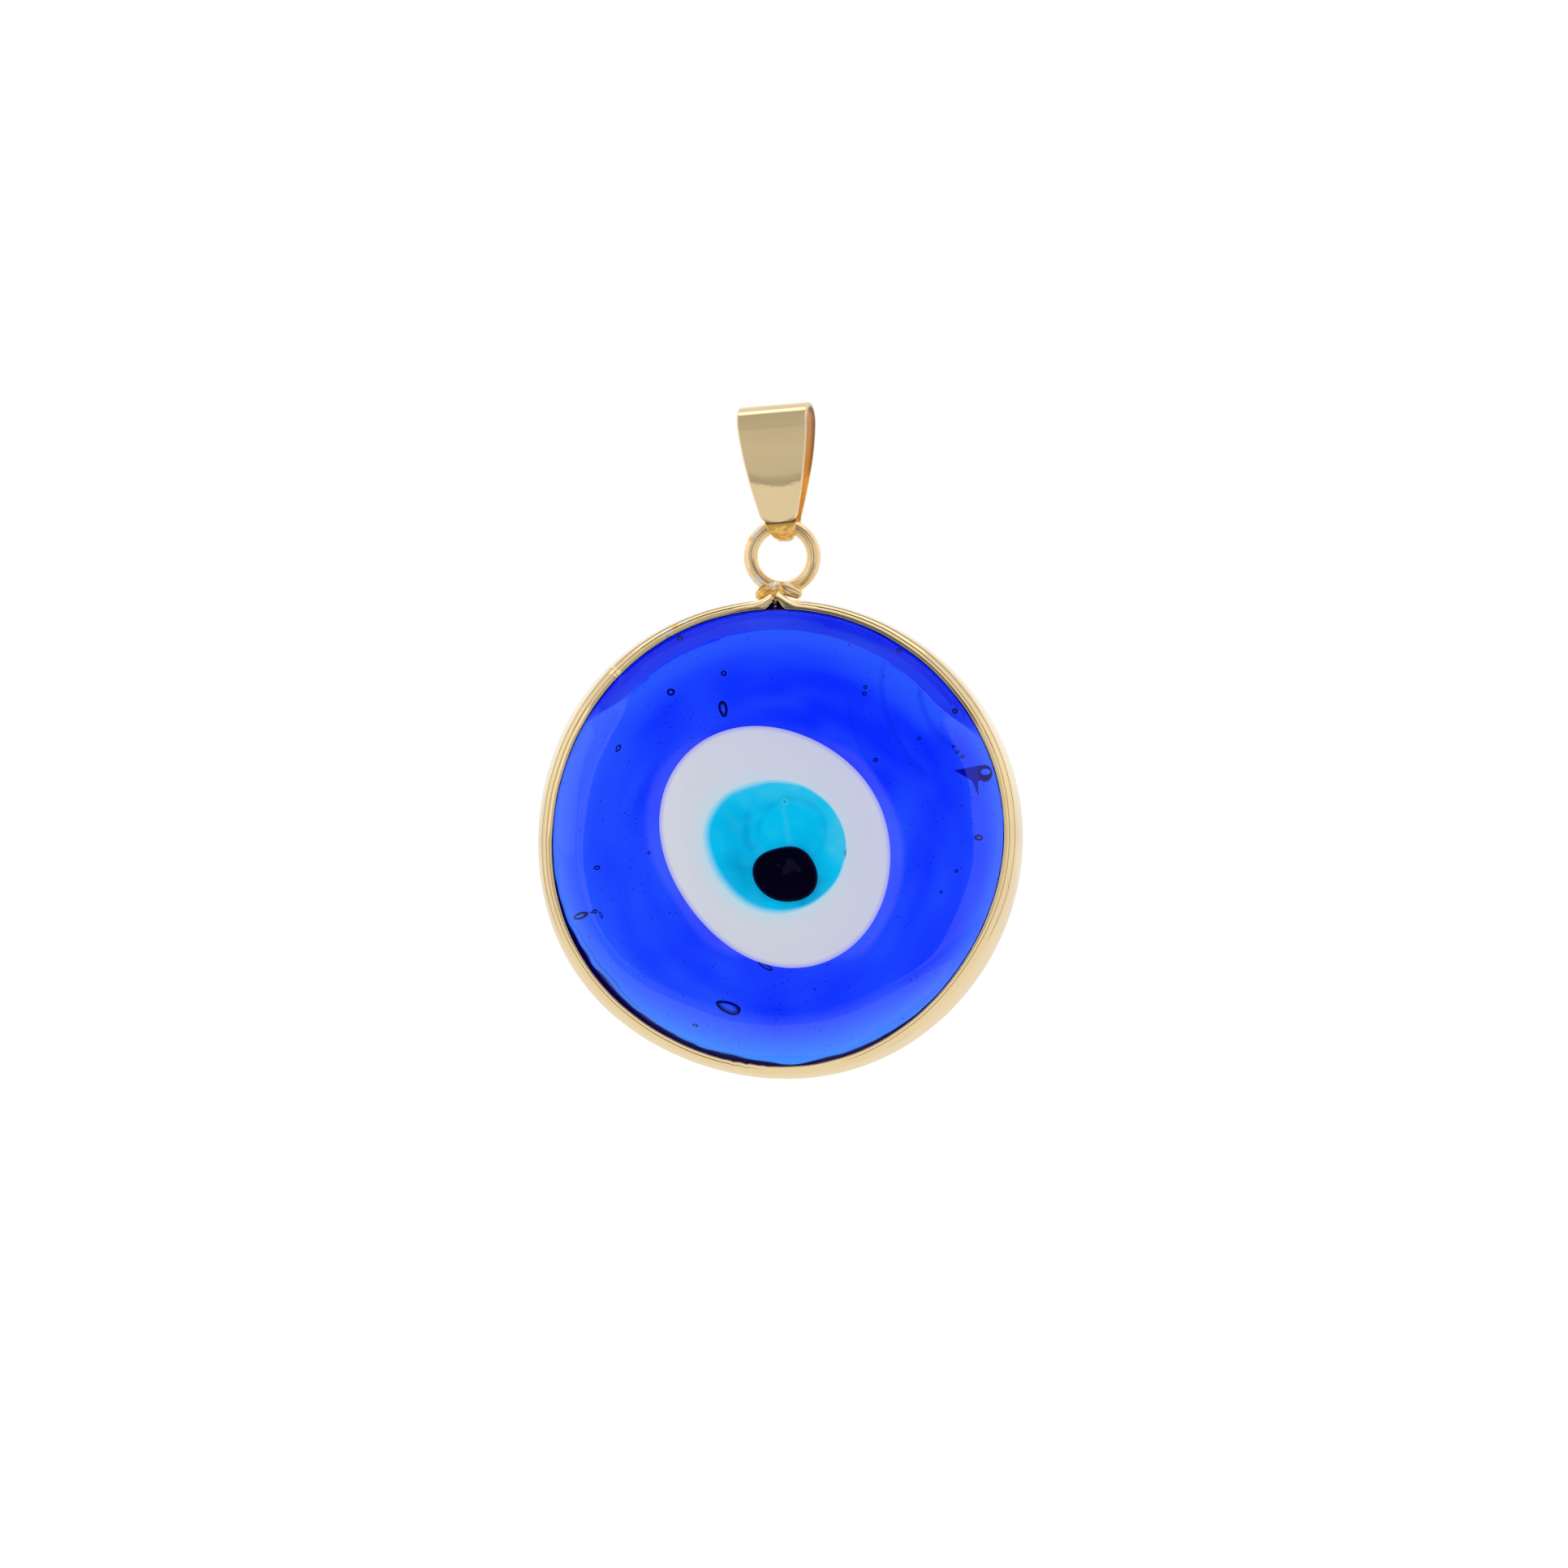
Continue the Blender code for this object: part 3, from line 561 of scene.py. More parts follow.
def bubbleShell(turns, steps, x, z, long, wide, tilt, share=0.5):
    # ellipsoid hollow, pointed a little at its far end when it is long, with its wall facing in; its poles
    # lie in front and behind, its rows crowd round the outline, its wall has painted shade where it is seen
    # edge on
    level = np.linspace(0, 1, steps + 2)[1:-1, None]
    polar = np.pi * level + hollow["crowding"] * np.sin(fullTurn * level)
    angle = np.linspace(0, fullTurn, turns, endpoint=False)[None, :]
    taper = 1 + hollow["point"] * (1 - wide / long) * np.cos(angle)
    along = long / 2 * np.sin(polar) * np.cos(angle)
    across = wide / 2 * np.sin(polar) * np.sin(angle) * taper
    deep = wide / 2 * np.cos(polar) + 0 * angle
    turn = np.radians(tilt)
    front, back = frontHeight(np.array(x), np.array(z)), backHeight(np.array(x), np.array(z))
    middle = np.array([x, -front + (front + back) * share, z]) + discMiddle
    rows = np.stack([along * np.cos(turn) - across * np.sin(turn), deep,
                     along * np.sin(turn) + across * np.cos(turn)], -1)
    end = np.array([0, wide / 2, 0])
    # painted shade on the wall towards the outline seen from the front
    wall = hollow["wall"] * (1 - smoothStep(*hollow["wallEdge"], np.abs(np.cos(polar)))) + 0 * angle
    part = shell(rows + middle, middle + end, middle - end, shade=wall, depth=0.0, cool=0.0)
    return facing(part, outward=False)


def seedPlaces():
    # fine seed bubbles: some anywhere in the blue ring, some in crowds
    draw = np.random.default_rng(seeds["draw"])
    angle = draw.uniform(0, fullTurn, seeds["count"])
    nearest, farthest = seeds["ring"]
    r = np.sqrt(draw.uniform(nearest ** 2, farthest ** 2, seeds["count"]))
    spots = [np.stack([r * np.cos(angle), r * np.sin(angle)], -1)]
    spots += [draw.normal((x, z), size, (count, 2)) for x, z, size, count in seeds["crowds"]]
    x, z = np.concatenate(spots).T
    clear = glassRim(np.arctan2(z, x)) - np.hypot(x, z) > seeds["clearOfRim"]
    kept = clear & (dotReach(whiteDot, x, z) > seeds["clearOfDot"])
    x, z = x[kept], z[kept]
    return x, z, draw.uniform(*seeds["sizes"], len(x)), draw.uniform(*seeds["shares"], len(x))


def insideCorners(tree, place, corners):
    # distance inside a flat figure with corners in turn, anticlockwise: the least over its edges, in metres
    reach = 1.0
    for (x0, z0), (x1, z1) in zip(corners, corners[1:] + corners[:1]):
        inward = np.array([z0 - z1, 0, x1 - x0]) / np.hypot(x1 - x0, z1 - z0)
        start = (np.array([x0, 0, z0]) + discMiddle) * mm
        along = pointMath(tree, "DOT_PRODUCT", place, inward)
        reach = combine(tree, "MINIMUM", reach, combine(tree, "SUBTRACT", along, float(inward @ start)))
    return reach


def insideOval(tree, place, x, z, wide, high):
    # 0 in the middle of an upright oval, 1 on its outline
    away = pointMath(tree, "SUBTRACT", place, (discMiddle + [x, 0, z]) * mm)
    return pointMath(tree, "LENGTH", pointMath(tree, "MULTIPLY", away, (1 / (wide * mm), 0, 1 / (high * mm))))


def cobaltFinish():
    # clear glass whose blue comes from the depth that light crosses; its body and the cords at the upper
    # right tint its faces deeper, with painted shade on the top bevel and painted light turning the lower rim
    # azure;
    # the painted shadow marks its front alone, painted shade at the rim darkens it
    material, tree, shader = newMaterial("cobalt_glass")
    place = objectPlace(tree)
    bent = pointMath(tree, "SUBTRACT", place, (discMiddle + cobalt["cordMiddle"]) * mm)
    rings = addNode(tree, "ShaderNodeTexWave", {"Vector": bent, **cobalt["cordWave"]}, wave_type="RINGS",
                    rings_direction="SPHERICAL").outputs["Fac"]
    reach = cobalt["cordsReach"] * mm
    cords = spotMask(tree, place, (discMiddle + cobalt["cordsAt"]) * mm, reach, reach)
    cords = times(tree, spread(tree, rings, *cobalt["cordLine"]), cords)
    deep = markValue(tree, "depth")
    layers = [
        (deep, cobalt["body"]), (spread(tree, deep, *cobalt["deepestAt"], smooth=False), cobalt["paintedBevelShade"]),
        # painted light: the lower rim turned azure
        (markValue(tree, "cool"), cobalt["azure"], "MULTIPLY"),
        (times(tree, cords, cobalt["cordShare"]), cobalt["cord"]),
    ]
    middle, half = discMiddle[1] * mm, paintedShadow["halfWay"] * mm
    inFront = spread(tree, axesOf(tree, place)["Y"], middle + half, middle - half)
    # painted shadow and painted bubble, on the front face alone
    for corners in paintedShadow["leaves"]:
        inside = spread(tree, insideCorners(tree, place, corners), *(edge * mm for edge in paintedShadow["leafEdge"]))
        layers.append((times(tree, inside, inFront), paintedShadow["colour"]))
    for *oval, full, colour in paintedShadow["ovals"]:
        inside = spread(tree, insideOval(tree, place, *oval), paintedShadow["ovalEdge"], full)
        layers.append((times(tree, inside, inFront), colour))
    # painted shade along the rim
    layers.append((markValue(tree, "shade"), cobalt["paintedRimShade"]))
    tint = layered(tree, cobalt["clear"], layers)
    feed(tree, shader, {"Base Color": tint, "Transmission Weight": 1.0, "Roughness": 0.0,
                        "IOR": glass["index"]})
    blueing = {"Color": glass["colour"], "Density": glass["absorb"]}
    volume = addNode(tree, "ShaderNodeVolumeAbsorption", blueing).outputs["Volume"]
    feed(tree, tree.nodes["Material Output"], {"Volume": volume})
    return material


def buildGlass():
    parts = [glassShell()]
    for place in bubbles:
        long = place[2]  # the longer it is, the more faces it needs to look round
        counts = (int(np.clip(perLength * long, least, most)) for perLength, least, most in hollow["faces"])
        parts.append(bubbleShell(*counts, *place))
    for x, z, size, share in zip(*seedPlaces()):
        parts.append(bubbleShell(*seeds["faces"], x, z, size, size * seeds["flat"], 0, share))
    addPiece("cobalt_glass", parts, cobaltFinish(), "drop", "glass_disc", crease=60)


# Paint of the eye, worked out on the dots' own points; a wave is (height, wavelength, draw),
# a stroke runs from x, z to x, z and has a half width and a strength

whitePaint = {
    "milk": (0.592, 0.614, 0.692, 1), "cool": (0.530, 0.555, 0.735, 1), "halo": (0.400, 0.670, 0.790, 1),
    "edge": (0.30, 0.30, 0.86, 1), "edgeWidth": 0.34, "edgeShare": 0.75, "roughness": 0.08, "shine": 0.35,
    "coolLean": (0.28, 0.50, 25), "coolWave": (0.06, 4.0, 81), "coolEdge": (0.45, 0.7),
    "haloLean": (0.30, 0.5, 225), "haloReach": 0.42,  # a lean is a level, its change and the direction of it
    "tail": (-3.10, -3.75, -0.10, -4.62, 0.07, 0.35), "tailX": (-3.3, -1.5),
    "arc": (0.55, -0.15, 4.95, 0.05, 0.16), "arcX": (0.4, 1.2), "arcZ": (1.2, 2.2),
}
skyPaint = {
    "body": (0.000, 0.475, 0.810, 1), "veil": (0.000, 0.265, 0.530, 1), "pale": (0.060, 0.525, 0.770, 1),
    "thin": (0.330, 0.610, 0.790, 1), "nick": (0.010, 0.070, 0.420, 1), "roughness": 0.07, "shine": 0.35,
    "edgeLean": (0.10, 0.42, 190), "edgeWave": (0.03, 1.9, 61),
    "veils": (
        (-1.98, 1.50, -2.08, -0.10, 0.26, 0.30), (-1.78, -0.50, -1.60, -0.48, 0.34, 0.34),
        (-1.36, 0.95, -1.34, 0.00, 0.20, 0.34), (-3.20, -1.60, -1.20, -3.40, 0.80, 0.30),
        (2.40, -2.60, 1.20, -3.90, 0.75, 0.45), (-2.75, 0.90, -2.40, -2.20, 0.95, 0.36),
        (-1.55, 2.20, -1.15, 1.90, 0.20, 0.16), (2.15, 0.90, 1.55, -0.60, 0.55, 0.14),
    ),
    "arc": (0.76, 0.50, 2.04, 0.17, 0.30), "arcFrom": (-60, -20), "arcTo": (190, 140), "arcSplit": 270,
    "pupilVeil": (0.55, 0.28), "veilUneven": (0.25, 1.1, 62), "veilWave": (0.08, 2.4, 63),
    "paleTop": 0.40, "paleTopZ": (1.6, 3.6), "paleRight": 0.55, "paleRightX": (2.4, 3.9),
    "paleRightZ": (-2.6, 0), "paleStroke": (0.24, 1.9, 0.55, -0.2, 0.16, 0.20), "paleWave": (0.10, 1.5, 64),
    "bubbles": ((0.30, 2.32, 0.17), (0.91, 3.22, 0.11), (3.17, 0.45, 0.11), (3.22, -0.70, 0.12),
                (3.72, -0.20, 0.09)),
    "bubbleMiddle": (0.7, 0.6), "bubbleRing": (0.6, 0.35),  # strength, width as a share of the bubble's size
    "nickAt": (4.10, -0.88, 0.11, 0.26),
}
blackPaint = {
    "thin": (0.003, 0.008, 0.040, 1), "thick": (0.0006, 0.0001, 0.0060, 1), "thinEdge": (0.0, 0.20),
    "glint": (0.0040, 0.0035, 0.0130, 1), "glintAt": (0.62, -1.70, 0.62, 0.46), "glintWave": (0.35, 0.7, 66),
    "glintEdge": (0.85, 1.05), "roughness": 0.06,
}


def stroke(x, z, x0, z0, x1, z1, wide, strength):
    # soft straight stroke, by the distance from its line
    run = np.array([x1 - x0, z1 - z0])
    share = np.clip(((x - x0) * run[0] + (z - z0) * run[1]) / (run @ run), 0, 1)
    return strength * bump(np.hypot(x - x0 - share * run[0], z - z0 - share * run[1]), 0, wide)


def arcStroke(x, z, middleX, middleZ, radius, wide, strength):
    return strength * bump(np.hypot(x - middleX, z - middleZ), radius, wide)


def ovalReach(x, z, middleX, middleZ, wide, high):
    # 0 in the middle of an oval, 1 on its outline
    return np.hypot((x - middleX) / wide, (z - middleZ) / high)


def dotSpots(part):
    # x and z of a dot's points from the middle of the disc
    return (part["points"] - discMiddle)[:, [0, 2]].T


def whiteShell():
    # the white dot with its marks: cool towards the upper right and the edge, greenish round the turquoise
    part = dotShell(whiteDot, [])
    x, z = dotSpots(part)
    level, change, at = whitePaint["coolLean"]
    lean = (x * np.cos(np.radians(at)) + z * np.sin(np.radians(at))) / whiteDot["radius"]
    strength, reach = whitePaint["coolEdge"]
    edge = strength * np.exp(-np.maximum(-dotReach(whiteDot, x, z), 0) / reach)
    cool = level + change * lean + waves(onFace(x, z), whitePaint["coolWave"]) + edge
    level, change, at = whitePaint["haloLean"]
    halo = (level + change * towards(skyDot, x, z, at)) * nearDot(skyDot, x, z, whitePaint["haloReach"])
    tail = stroke(x, z, *whitePaint["tail"]) * smoothStep(*whitePaint["tailX"], x)
    arc = arcStroke(x, z, *whitePaint["arc"])
    arc = arc * smoothStep(*whitePaint["arcX"], x) * smoothStep(*whitePaint["arcZ"], z)
    part["marks"]["cool"] = np.clip(cool, 0, 1)
    part["marks"]["halo"] = np.clip(halo + tail + arc, 0, 1)
    return part


def whiteFinish():
    # milky opaque glass that takes a violet tint where the blue shines into its edge
    material, tree, shader = newMaterial("white_glass")
    near = spread(tree, markValue(tree, "edge"), whitePaint["edgeWidth"], 0.0)
    milk = layered(tree, whitePaint["milk"], [
        (markValue(tree, "cool"), whitePaint["cool"]), (markValue(tree, "halo"), whitePaint["halo"]),
        (times(tree, near, whitePaint["edgeShare"]), whitePaint["edge"])])
    feed(tree, shader, {"Base Color": milk, "Roughness": whitePaint["roughness"],
                        "Specular IOR Level": whitePaint["shine"]})
    return material


def skyShell():
    # the sky dot with its marks: how far the turquoise has set in, crisp at the right and soft at the left;
    # its darker veils; its paler top and bubble rings
    part = dotShell(skyDot, [whiteDot])
    x, z = dotSpots(part)
    spots = onFace(x, z)
    level, change, at = skyPaint["edgeLean"]
    inside = -dotReach(skyDot, x, z) + waves(spots, skyPaint["edgeWave"])
    part["marks"]["tone"] = smoothStep(0.0, 1, inside / (level + change * towards(skyDot, x, z, at)))
    veil = sum(stroke(x, z, *line) for line in skyPaint["veils"])
    middleX, middleZ = skyPaint["arc"][:2]
    turn = np.degrees(np.arctan2(z - middleZ, x - middleX)) % 360
    turn = np.where(turn > skyPaint["arcSplit"], turn - 360, turn)
    along = smoothStep(*skyPaint["arcFrom"], turn) * smoothStep(*skyPaint["arcTo"], turn)
    strength, reach = skyPaint["pupilVeil"]
    veil = veil + along * arcStroke(x, z, *skyPaint["arc"]) + strength * nearDot(blackDot, x, z, reach)
    veil = veil * (1 + waves(spots, skyPaint["veilUneven"])) + waves(spots, skyPaint["veilWave"])
    pale = skyPaint["paleTop"] * smoothStep(*skyPaint["paleTopZ"], z)
    pale = pale + (skyPaint["paleRight"] * smoothStep(*skyPaint["paleRightX"], x)
                   * smoothStep(*skyPaint["paleRightZ"], z))
    pale = pale + stroke(x, z, *skyPaint["paleStroke"]) + waves(spots, skyPaint["paleWave"])
    (dark, darkWide), (light, lightWide) = skyPaint["bubbleMiddle"], skyPaint["bubbleRing"]
    for middleX, middleZ, size in skyPaint["bubbles"]:
        veil = veil + arcStroke(x, z, middleX, middleZ, 0, size * darkWide, dark)
        pale = pale + arcStroke(x, z, middleX, middleZ, size, size * lightWide, light)
    part["marks"]["veil"] = np.clip(veil, 0, 1)
    part["marks"]["pale"] = np.clip(pale, 0, 1)
    part["marks"]["nick"] = bump(ovalReach(x, z, *skyPaint["nickAt"]), 0, 1)
    return part


def skyFinish():
    # turquoise glass that melts into the white at its edge
    material, tree, shader = newMaterial("sky_glass")
    thin = combine(tree, "SUBTRACT", 1.0, markValue(tree, "tone"))
    body = layered(tree, skyPaint["body"], [
        (markValue(tree, "veil"), skyPaint["veil"]), (markValue(tree, "pale"), skyPaint["pale"]),
        (thin, skyPaint["thin"]), (markValue(tree, "nick"), skyPaint["nick"])])
    feed(tree, shader, {"Base Color": body, "Roughness": skyPaint["roughness"],
                        "Specular IOR Level": skyPaint["shine"]})
    return material


def blackShell():
    # the pupil with a faint lighter patch
    part = dotShell(blackDot, [whiteDot, skyDot])
    x, z = dotSpots(part)
    wide = ovalReach(x, z, *blackPaint["glintAt"]) + waves(onFace(x, z), blackPaint["glintWave"])
    part["marks"]["glint"] = 1 - smoothStep(*blackPaint["glintEdge"], wide)
    return part


def blackFinish():
    # near black glass, a little blue where it thins at the edge
    material, tree, shader = newMaterial("black_glass")
    thick = spread(tree, markValue(tree, "edge"), *blackPaint["thinEdge"])
    body = layered(tree, blackPaint["thin"], [
        (thick, blackPaint["thick"]), (markValue(tree, "glint"), blackPaint["glint"])])
    feed(tree, shader, {"Base Color": body, "Roughness": blackPaint["roughness"]})
    return material


def buildEye():
    addPiece("white_glass_dot", [whiteShell()], whiteFinish(), "drop", "white_dot")
    addPiece("sky_glass_dot", [skyShell()], skyFinish(), "drop", "sky_blue_dot")
    addPiece("black_glass_dot", [blackShell()], blackFinish(), "drop", "pupil_dot")


# Gold plate

gold = {
    "colour": (0.915, 0.720, 0.415, 1), "warm": (0.900, 0.640, 0.300, 1), "raw": (0.830, 0.490, 0.120, 1),
    "inside": (0.920, 0.490, 0.090, 1), "insideLow": (0.990, 0.640, 0.170, 1),
    "insideTop": (0.940, 0.690, 0.440, 1), "pale": (0.965, 0.860, 0.690, 1),
    "solder": (0.900, 0.600, 0.240, 1), "wire": (0.970, 0.715, 0.385, 1), "silver": (0.850, 0.810, 0.690, 1),
    "orange": (0.930, 0.540, 0.150, 1), "brown": (0.420, 0.200, 0.050, 1), "white": (0.970, 0.950, 0.920, 1),
    "shadow": (0.160, 0.070, 0.020, 1),
    "cloud": (1.4, 0.35, 0.75), "patch": (0.25, 0.28, 0.44), "blotch": (0.9, 0.35, 0.70),  # size, from, to
    "cloudShare": 0.18, "spotEdge": 0.6, "polishSize": 0.12, "polishRange": (0.3, 0.8),
    "polishSpread": (0.6, 1.6), "dentSize": 0.5, "dentDepth": 0.02,
    "insideDull": 0.28, "tongueDull": 0.10, "dullMetal": 0.55,
}


def goldFinish(name, roughness, grain, wearAndHighlights=(), marked=False, paintedRimSheen=False, base="colour", metal=1.0):
    # pale gold plate: cloudy tone, fine grain in its polish, worn silvery or coppery spots and white spots
    # that are painted highlights; a piece with a rim mark takes a painted pale sheen; a marked piece is dull
    # orange on its inside and bright raw gold on its tongue, with painted shadow under its front leaf
    material, tree, shader = newMaterial(name)
    place = objectPlace(tree)

    def cloudy(kind):
        size, low, high = gold[kind]
        return spread(tree, noiseValue(tree, place, size), low, high)

    layers = [(times(tree, cloudy("cloud"), gold["cloudShare"]), gold["warm"])]
    for spot, radius, colour in wearAndHighlights:
        where = spotMask(tree, place, np.array(spot) * mm, radius * mm, radius * gold["spotEdge"] * mm)
        layers.append((times(tree, where, cloudy("patch")), gold[colour]))
    fine = noiseValue(tree, place, gold["polishSize"], 4.0)
    polish = spread(tree, fine, *gold["polishRange"], *(roughness * share for share in gold["polishSpread"]))
    # painted sheen: pale where the rim mark is
    if paintedRimSheen:
        layers.append((markValue(tree, "rim"), gold["pale"]))
    if marked:
        inside, tongue = markValue(tree, "inside"), markValue(tree, "tongue")
        high = spread(tree, axesOf(tree, place)["Z"], bail["topFrom"] * mm, bail["topFull"] * mm)
        dull = [(cloudy("blotch"), gold["insideLow"]), (high, gold["insideTop"])]
        dull = layered(tree, gold["inside"], dull)
        # painted shadow where the under mark is
        layers += [(inside, dull), (tongue, gold["raw"]), (markValue(tree, "under"), gold["shadow"])]
        for mark, more in ((inside, gold["insideDull"]), (tongue, gold["tongueDull"])):
            polish = combine(tree, "ADD", polish, times(tree, mark, more))
        metal = between(tree, combine(tree, "MAXIMUM", inside, tongue), metal, gold["dullMetal"])
    dent = addNode(tree, "ShaderNodeBump", {"Height": noiseValue(tree, place, gold["dentSize"], 2.0),
                                            "Strength": grain, "Distance": gold["dentDepth"] * mm})
    feed(tree, shader, {"Base Color": layered(tree, gold[base], layers), "Roughness": polish,
                        "Metallic": metal, "Normal": dent.outputs["Normal"]})
    return material


def placeSpots(origin, spots):
    # worn spots and painted highlights, each (x, y, z, radius, colour), placed from an origin
    return [(origin + place, radius, colour) for *place, radius, colour in spots]


# Channel band round the glass

bandFace = {  # tilts are degrees away from the disc's plane; a spot on the band is (direction, spread)
    "lipWave": (0.012, 2.6, 21), "roughWave": (1, 0.5, 22), "rough": 0.003, "ragged": 0.030,
    "raggedAt": (261, 6), "lipTurns": (0, 20, 40, 60, 78), "lipRound": (0.06, 0.045),
    "lipTilt": (16, 34), "lipTiltBeaded": (3, 5),
    "beadedTurn": (-0.62, -0.20), "plainLip": 0.66, "plainLine": 1.3, "plainDepth": 0.8, "beadedDepth": 0.3,
    "wornShare": 0.85, "wornAt": (276, 15), "lineTilts": (44, 50), "beadShare": 0.32, "beadMost": 0.24,
    "beadTilts": (38, 54), "shoulderTilt": 42, "shoulderSteps": 16, "wallTop": 0.50, "wallLow": 0.55,
    "backCrest": 0.28, "paintedSheen": (0.45, 0.50), "paintedSheenTurn": (-0.45, 0.30), "rimFrom": 0.35,
    "roughness": 0.10, "grain": 0.25,
}
lipFlare = {"leftRise": 0.40, "rightRise": 0.58, "spread": 2.5, "innerSpread": 1.3,
            "start": 1.05, "full": 1.55, "leftCut": 0.3, "cutSpread": 2.0}
bandWear = ((-6.97, -1.95, 12.70, 0.28, "silver"), (-6.47, -1.80, 13.16, 0.15, "orange"),
            (-5.80, -1.82, 13.44, 0.16, "silver"), (-6.90, -2.02, 12.48, 0.13, "orange"))


def bandSection(angle):
    # closed section (r, y) at each angle: lip face, groove line, middle bead, second line, outer shoulder,
    # wall, back lip and lining; every face is a run of points whose tilt grows evenly
    outer, lip = bandRadius(angle), lipRadius(angle)
    around = np.degrees(angle) % 360
    spots = onFace(lip * np.cos(angle), lip * np.sin(angle))
    rough = bandFace["rough"] + bandFace["ragged"] * bump(around, *bandFace["raggedAt"])
    lip = lip + waves(spots, bandFace["lipWave"]) + rough * waves(spots, bandFace["roughWave"])
    gap = band["glassGap"]

    def glassFront(r):
        return frontHeight(r * np.cos(angle), r * np.sin(angle))

    def glassBack(r):
        return backHeight(r * np.cos(angle), r * np.sin(angle))

    seat = glassFront(lip) + gap
    points, rims = [], []
    here = [lip + 0.05, seat]

    def put(r, high, rim=0.0):
        points.append(np.stack([r + 0 * angle, -(high + 0 * angle)], -1))
        rims.append(rim)
        here[0], here[1] = r, high

    def run(width, tilts):
        # carries the section outwards over a width, falling by each tilt in turn
        for tilt in np.radians(tilts):
            put(here[0] + width / len(tilts), here[1] - width / len(tilts) * np.tan(tilt))

    def line(width, deep, tilt):
        # narrow groove between two faces, along their slope
        r, high = here
        for across, down in ((0.25, 0.6), (0.5, 1.0), (0.75, 0.6), (1.0, 0.0)):
            put(r + width * across, high - width * across * np.tan(np.radians(tilt)) - deep * down)

    put(*here)
    put(lip + 0.015, seat + 0.03)
    rise = band["lipHeight"] - 0.07
    roundWide, roundHigh = bandFace["lipRound"]
    for turn in np.radians(bandFace["lipTurns"]):
        put(lip + roundWide * (1 - np.cos(turn)), seat + rise + roundHigh * np.sin(turn))
    beaded = smoothStep(*bandFace["beadedTurn"], np.sin(angle))
    fromSeam = np.degrees(np.arccos(np.clip(np.cos(angle - np.radians(band["seam"])), -1, 1)))
    deep = band["grooveDepth"] * (1 - bump(fromSeam, 0, band["calm"]))
    wide = band["lineWidth"] * mixed(bandFace["plainLine"], 2.0, beaded)
    grow = np.linspace(0, 1, 8)[:, None]
    tilt, more = bandFace["lipTilt"]
    less, lessMore = bandFace["lipTiltBeaded"]
    run((band["lipWidth"] - 0.05) * mixed(bandFace["plainLip"], 1, beaded),
        tilt + more * grow - (less + lessMore * grow) * beaded)
    worn = 1 - bandFace["wornShare"] * bump(around, *bandFace["wornAt"])
    firstLine, secondLine = bandFace["lineTilts"]
    line(wide, deep * (bandFace["plainDepth"] + bandFace["beadedDepth"] * beaded) * worn, firstLine)
    bead = np.minimum(bandFace["beadShare"] * (outer - here[0]), bandFace["beadMost"])
    run(bead, np.linspace(*bandFace["beadTilts"], 8))
    line(wide, deep * beaded, secondLine)
    valley, top = here
    wall, low = bandFace["wallTop"], bandFace["wallLow"]
    first = np.radians(bandFace["shoulderTilt"])
    # the outer shoulder and wall carry a rim mark for a painted pale sheen, growing outwards
    for turn in np.linspace(first, np.pi / 2, bandFace["shoulderSteps"])[1:]:
        out = (np.sin(turn) - np.sin(first)) / (1 - np.sin(first))
        high = wall + (top - wall) * np.cos(turn) / np.cos(first)
        put(mixed(valley, outer, out), high, min(1.0, bandFace["rimFrom"] + out))
    for high in (0.2, -0.2, -low):
        put(outer, high)
    backLip = outer - band["backLip"]
    backSeat = glassBack(backLip) + gap
    crest = backSeat + bandFace["backCrest"]
    for turn in np.radians(np.linspace(10, 80, 10)):
        put(outer - band["backLip"] * (1 - np.cos(turn)), -mixed(low, crest, np.sin(turn)))
    for turn in np.radians((0, 35, 70, 90)):
        put(backLip + 0.10 * (1 - np.sin(turn)), -mixed(crest - 0.05, backSeat, np.sin(turn)))
    rim = glassRim(angle) + gap * 0.6
    for share in (0.7, 0.4, 0.15):
        r = mixed(rim, backLip, share)
        put(r, -(glassBack(r) + gap))
    put(rim, 0)
    for share in (0.15, 0.4, 0.7):
        r = mixed(rim, lip, share)
        put(r, glassFront(r) + gap * 0.8)
    return np.stack(points, 1), np.array(rims)


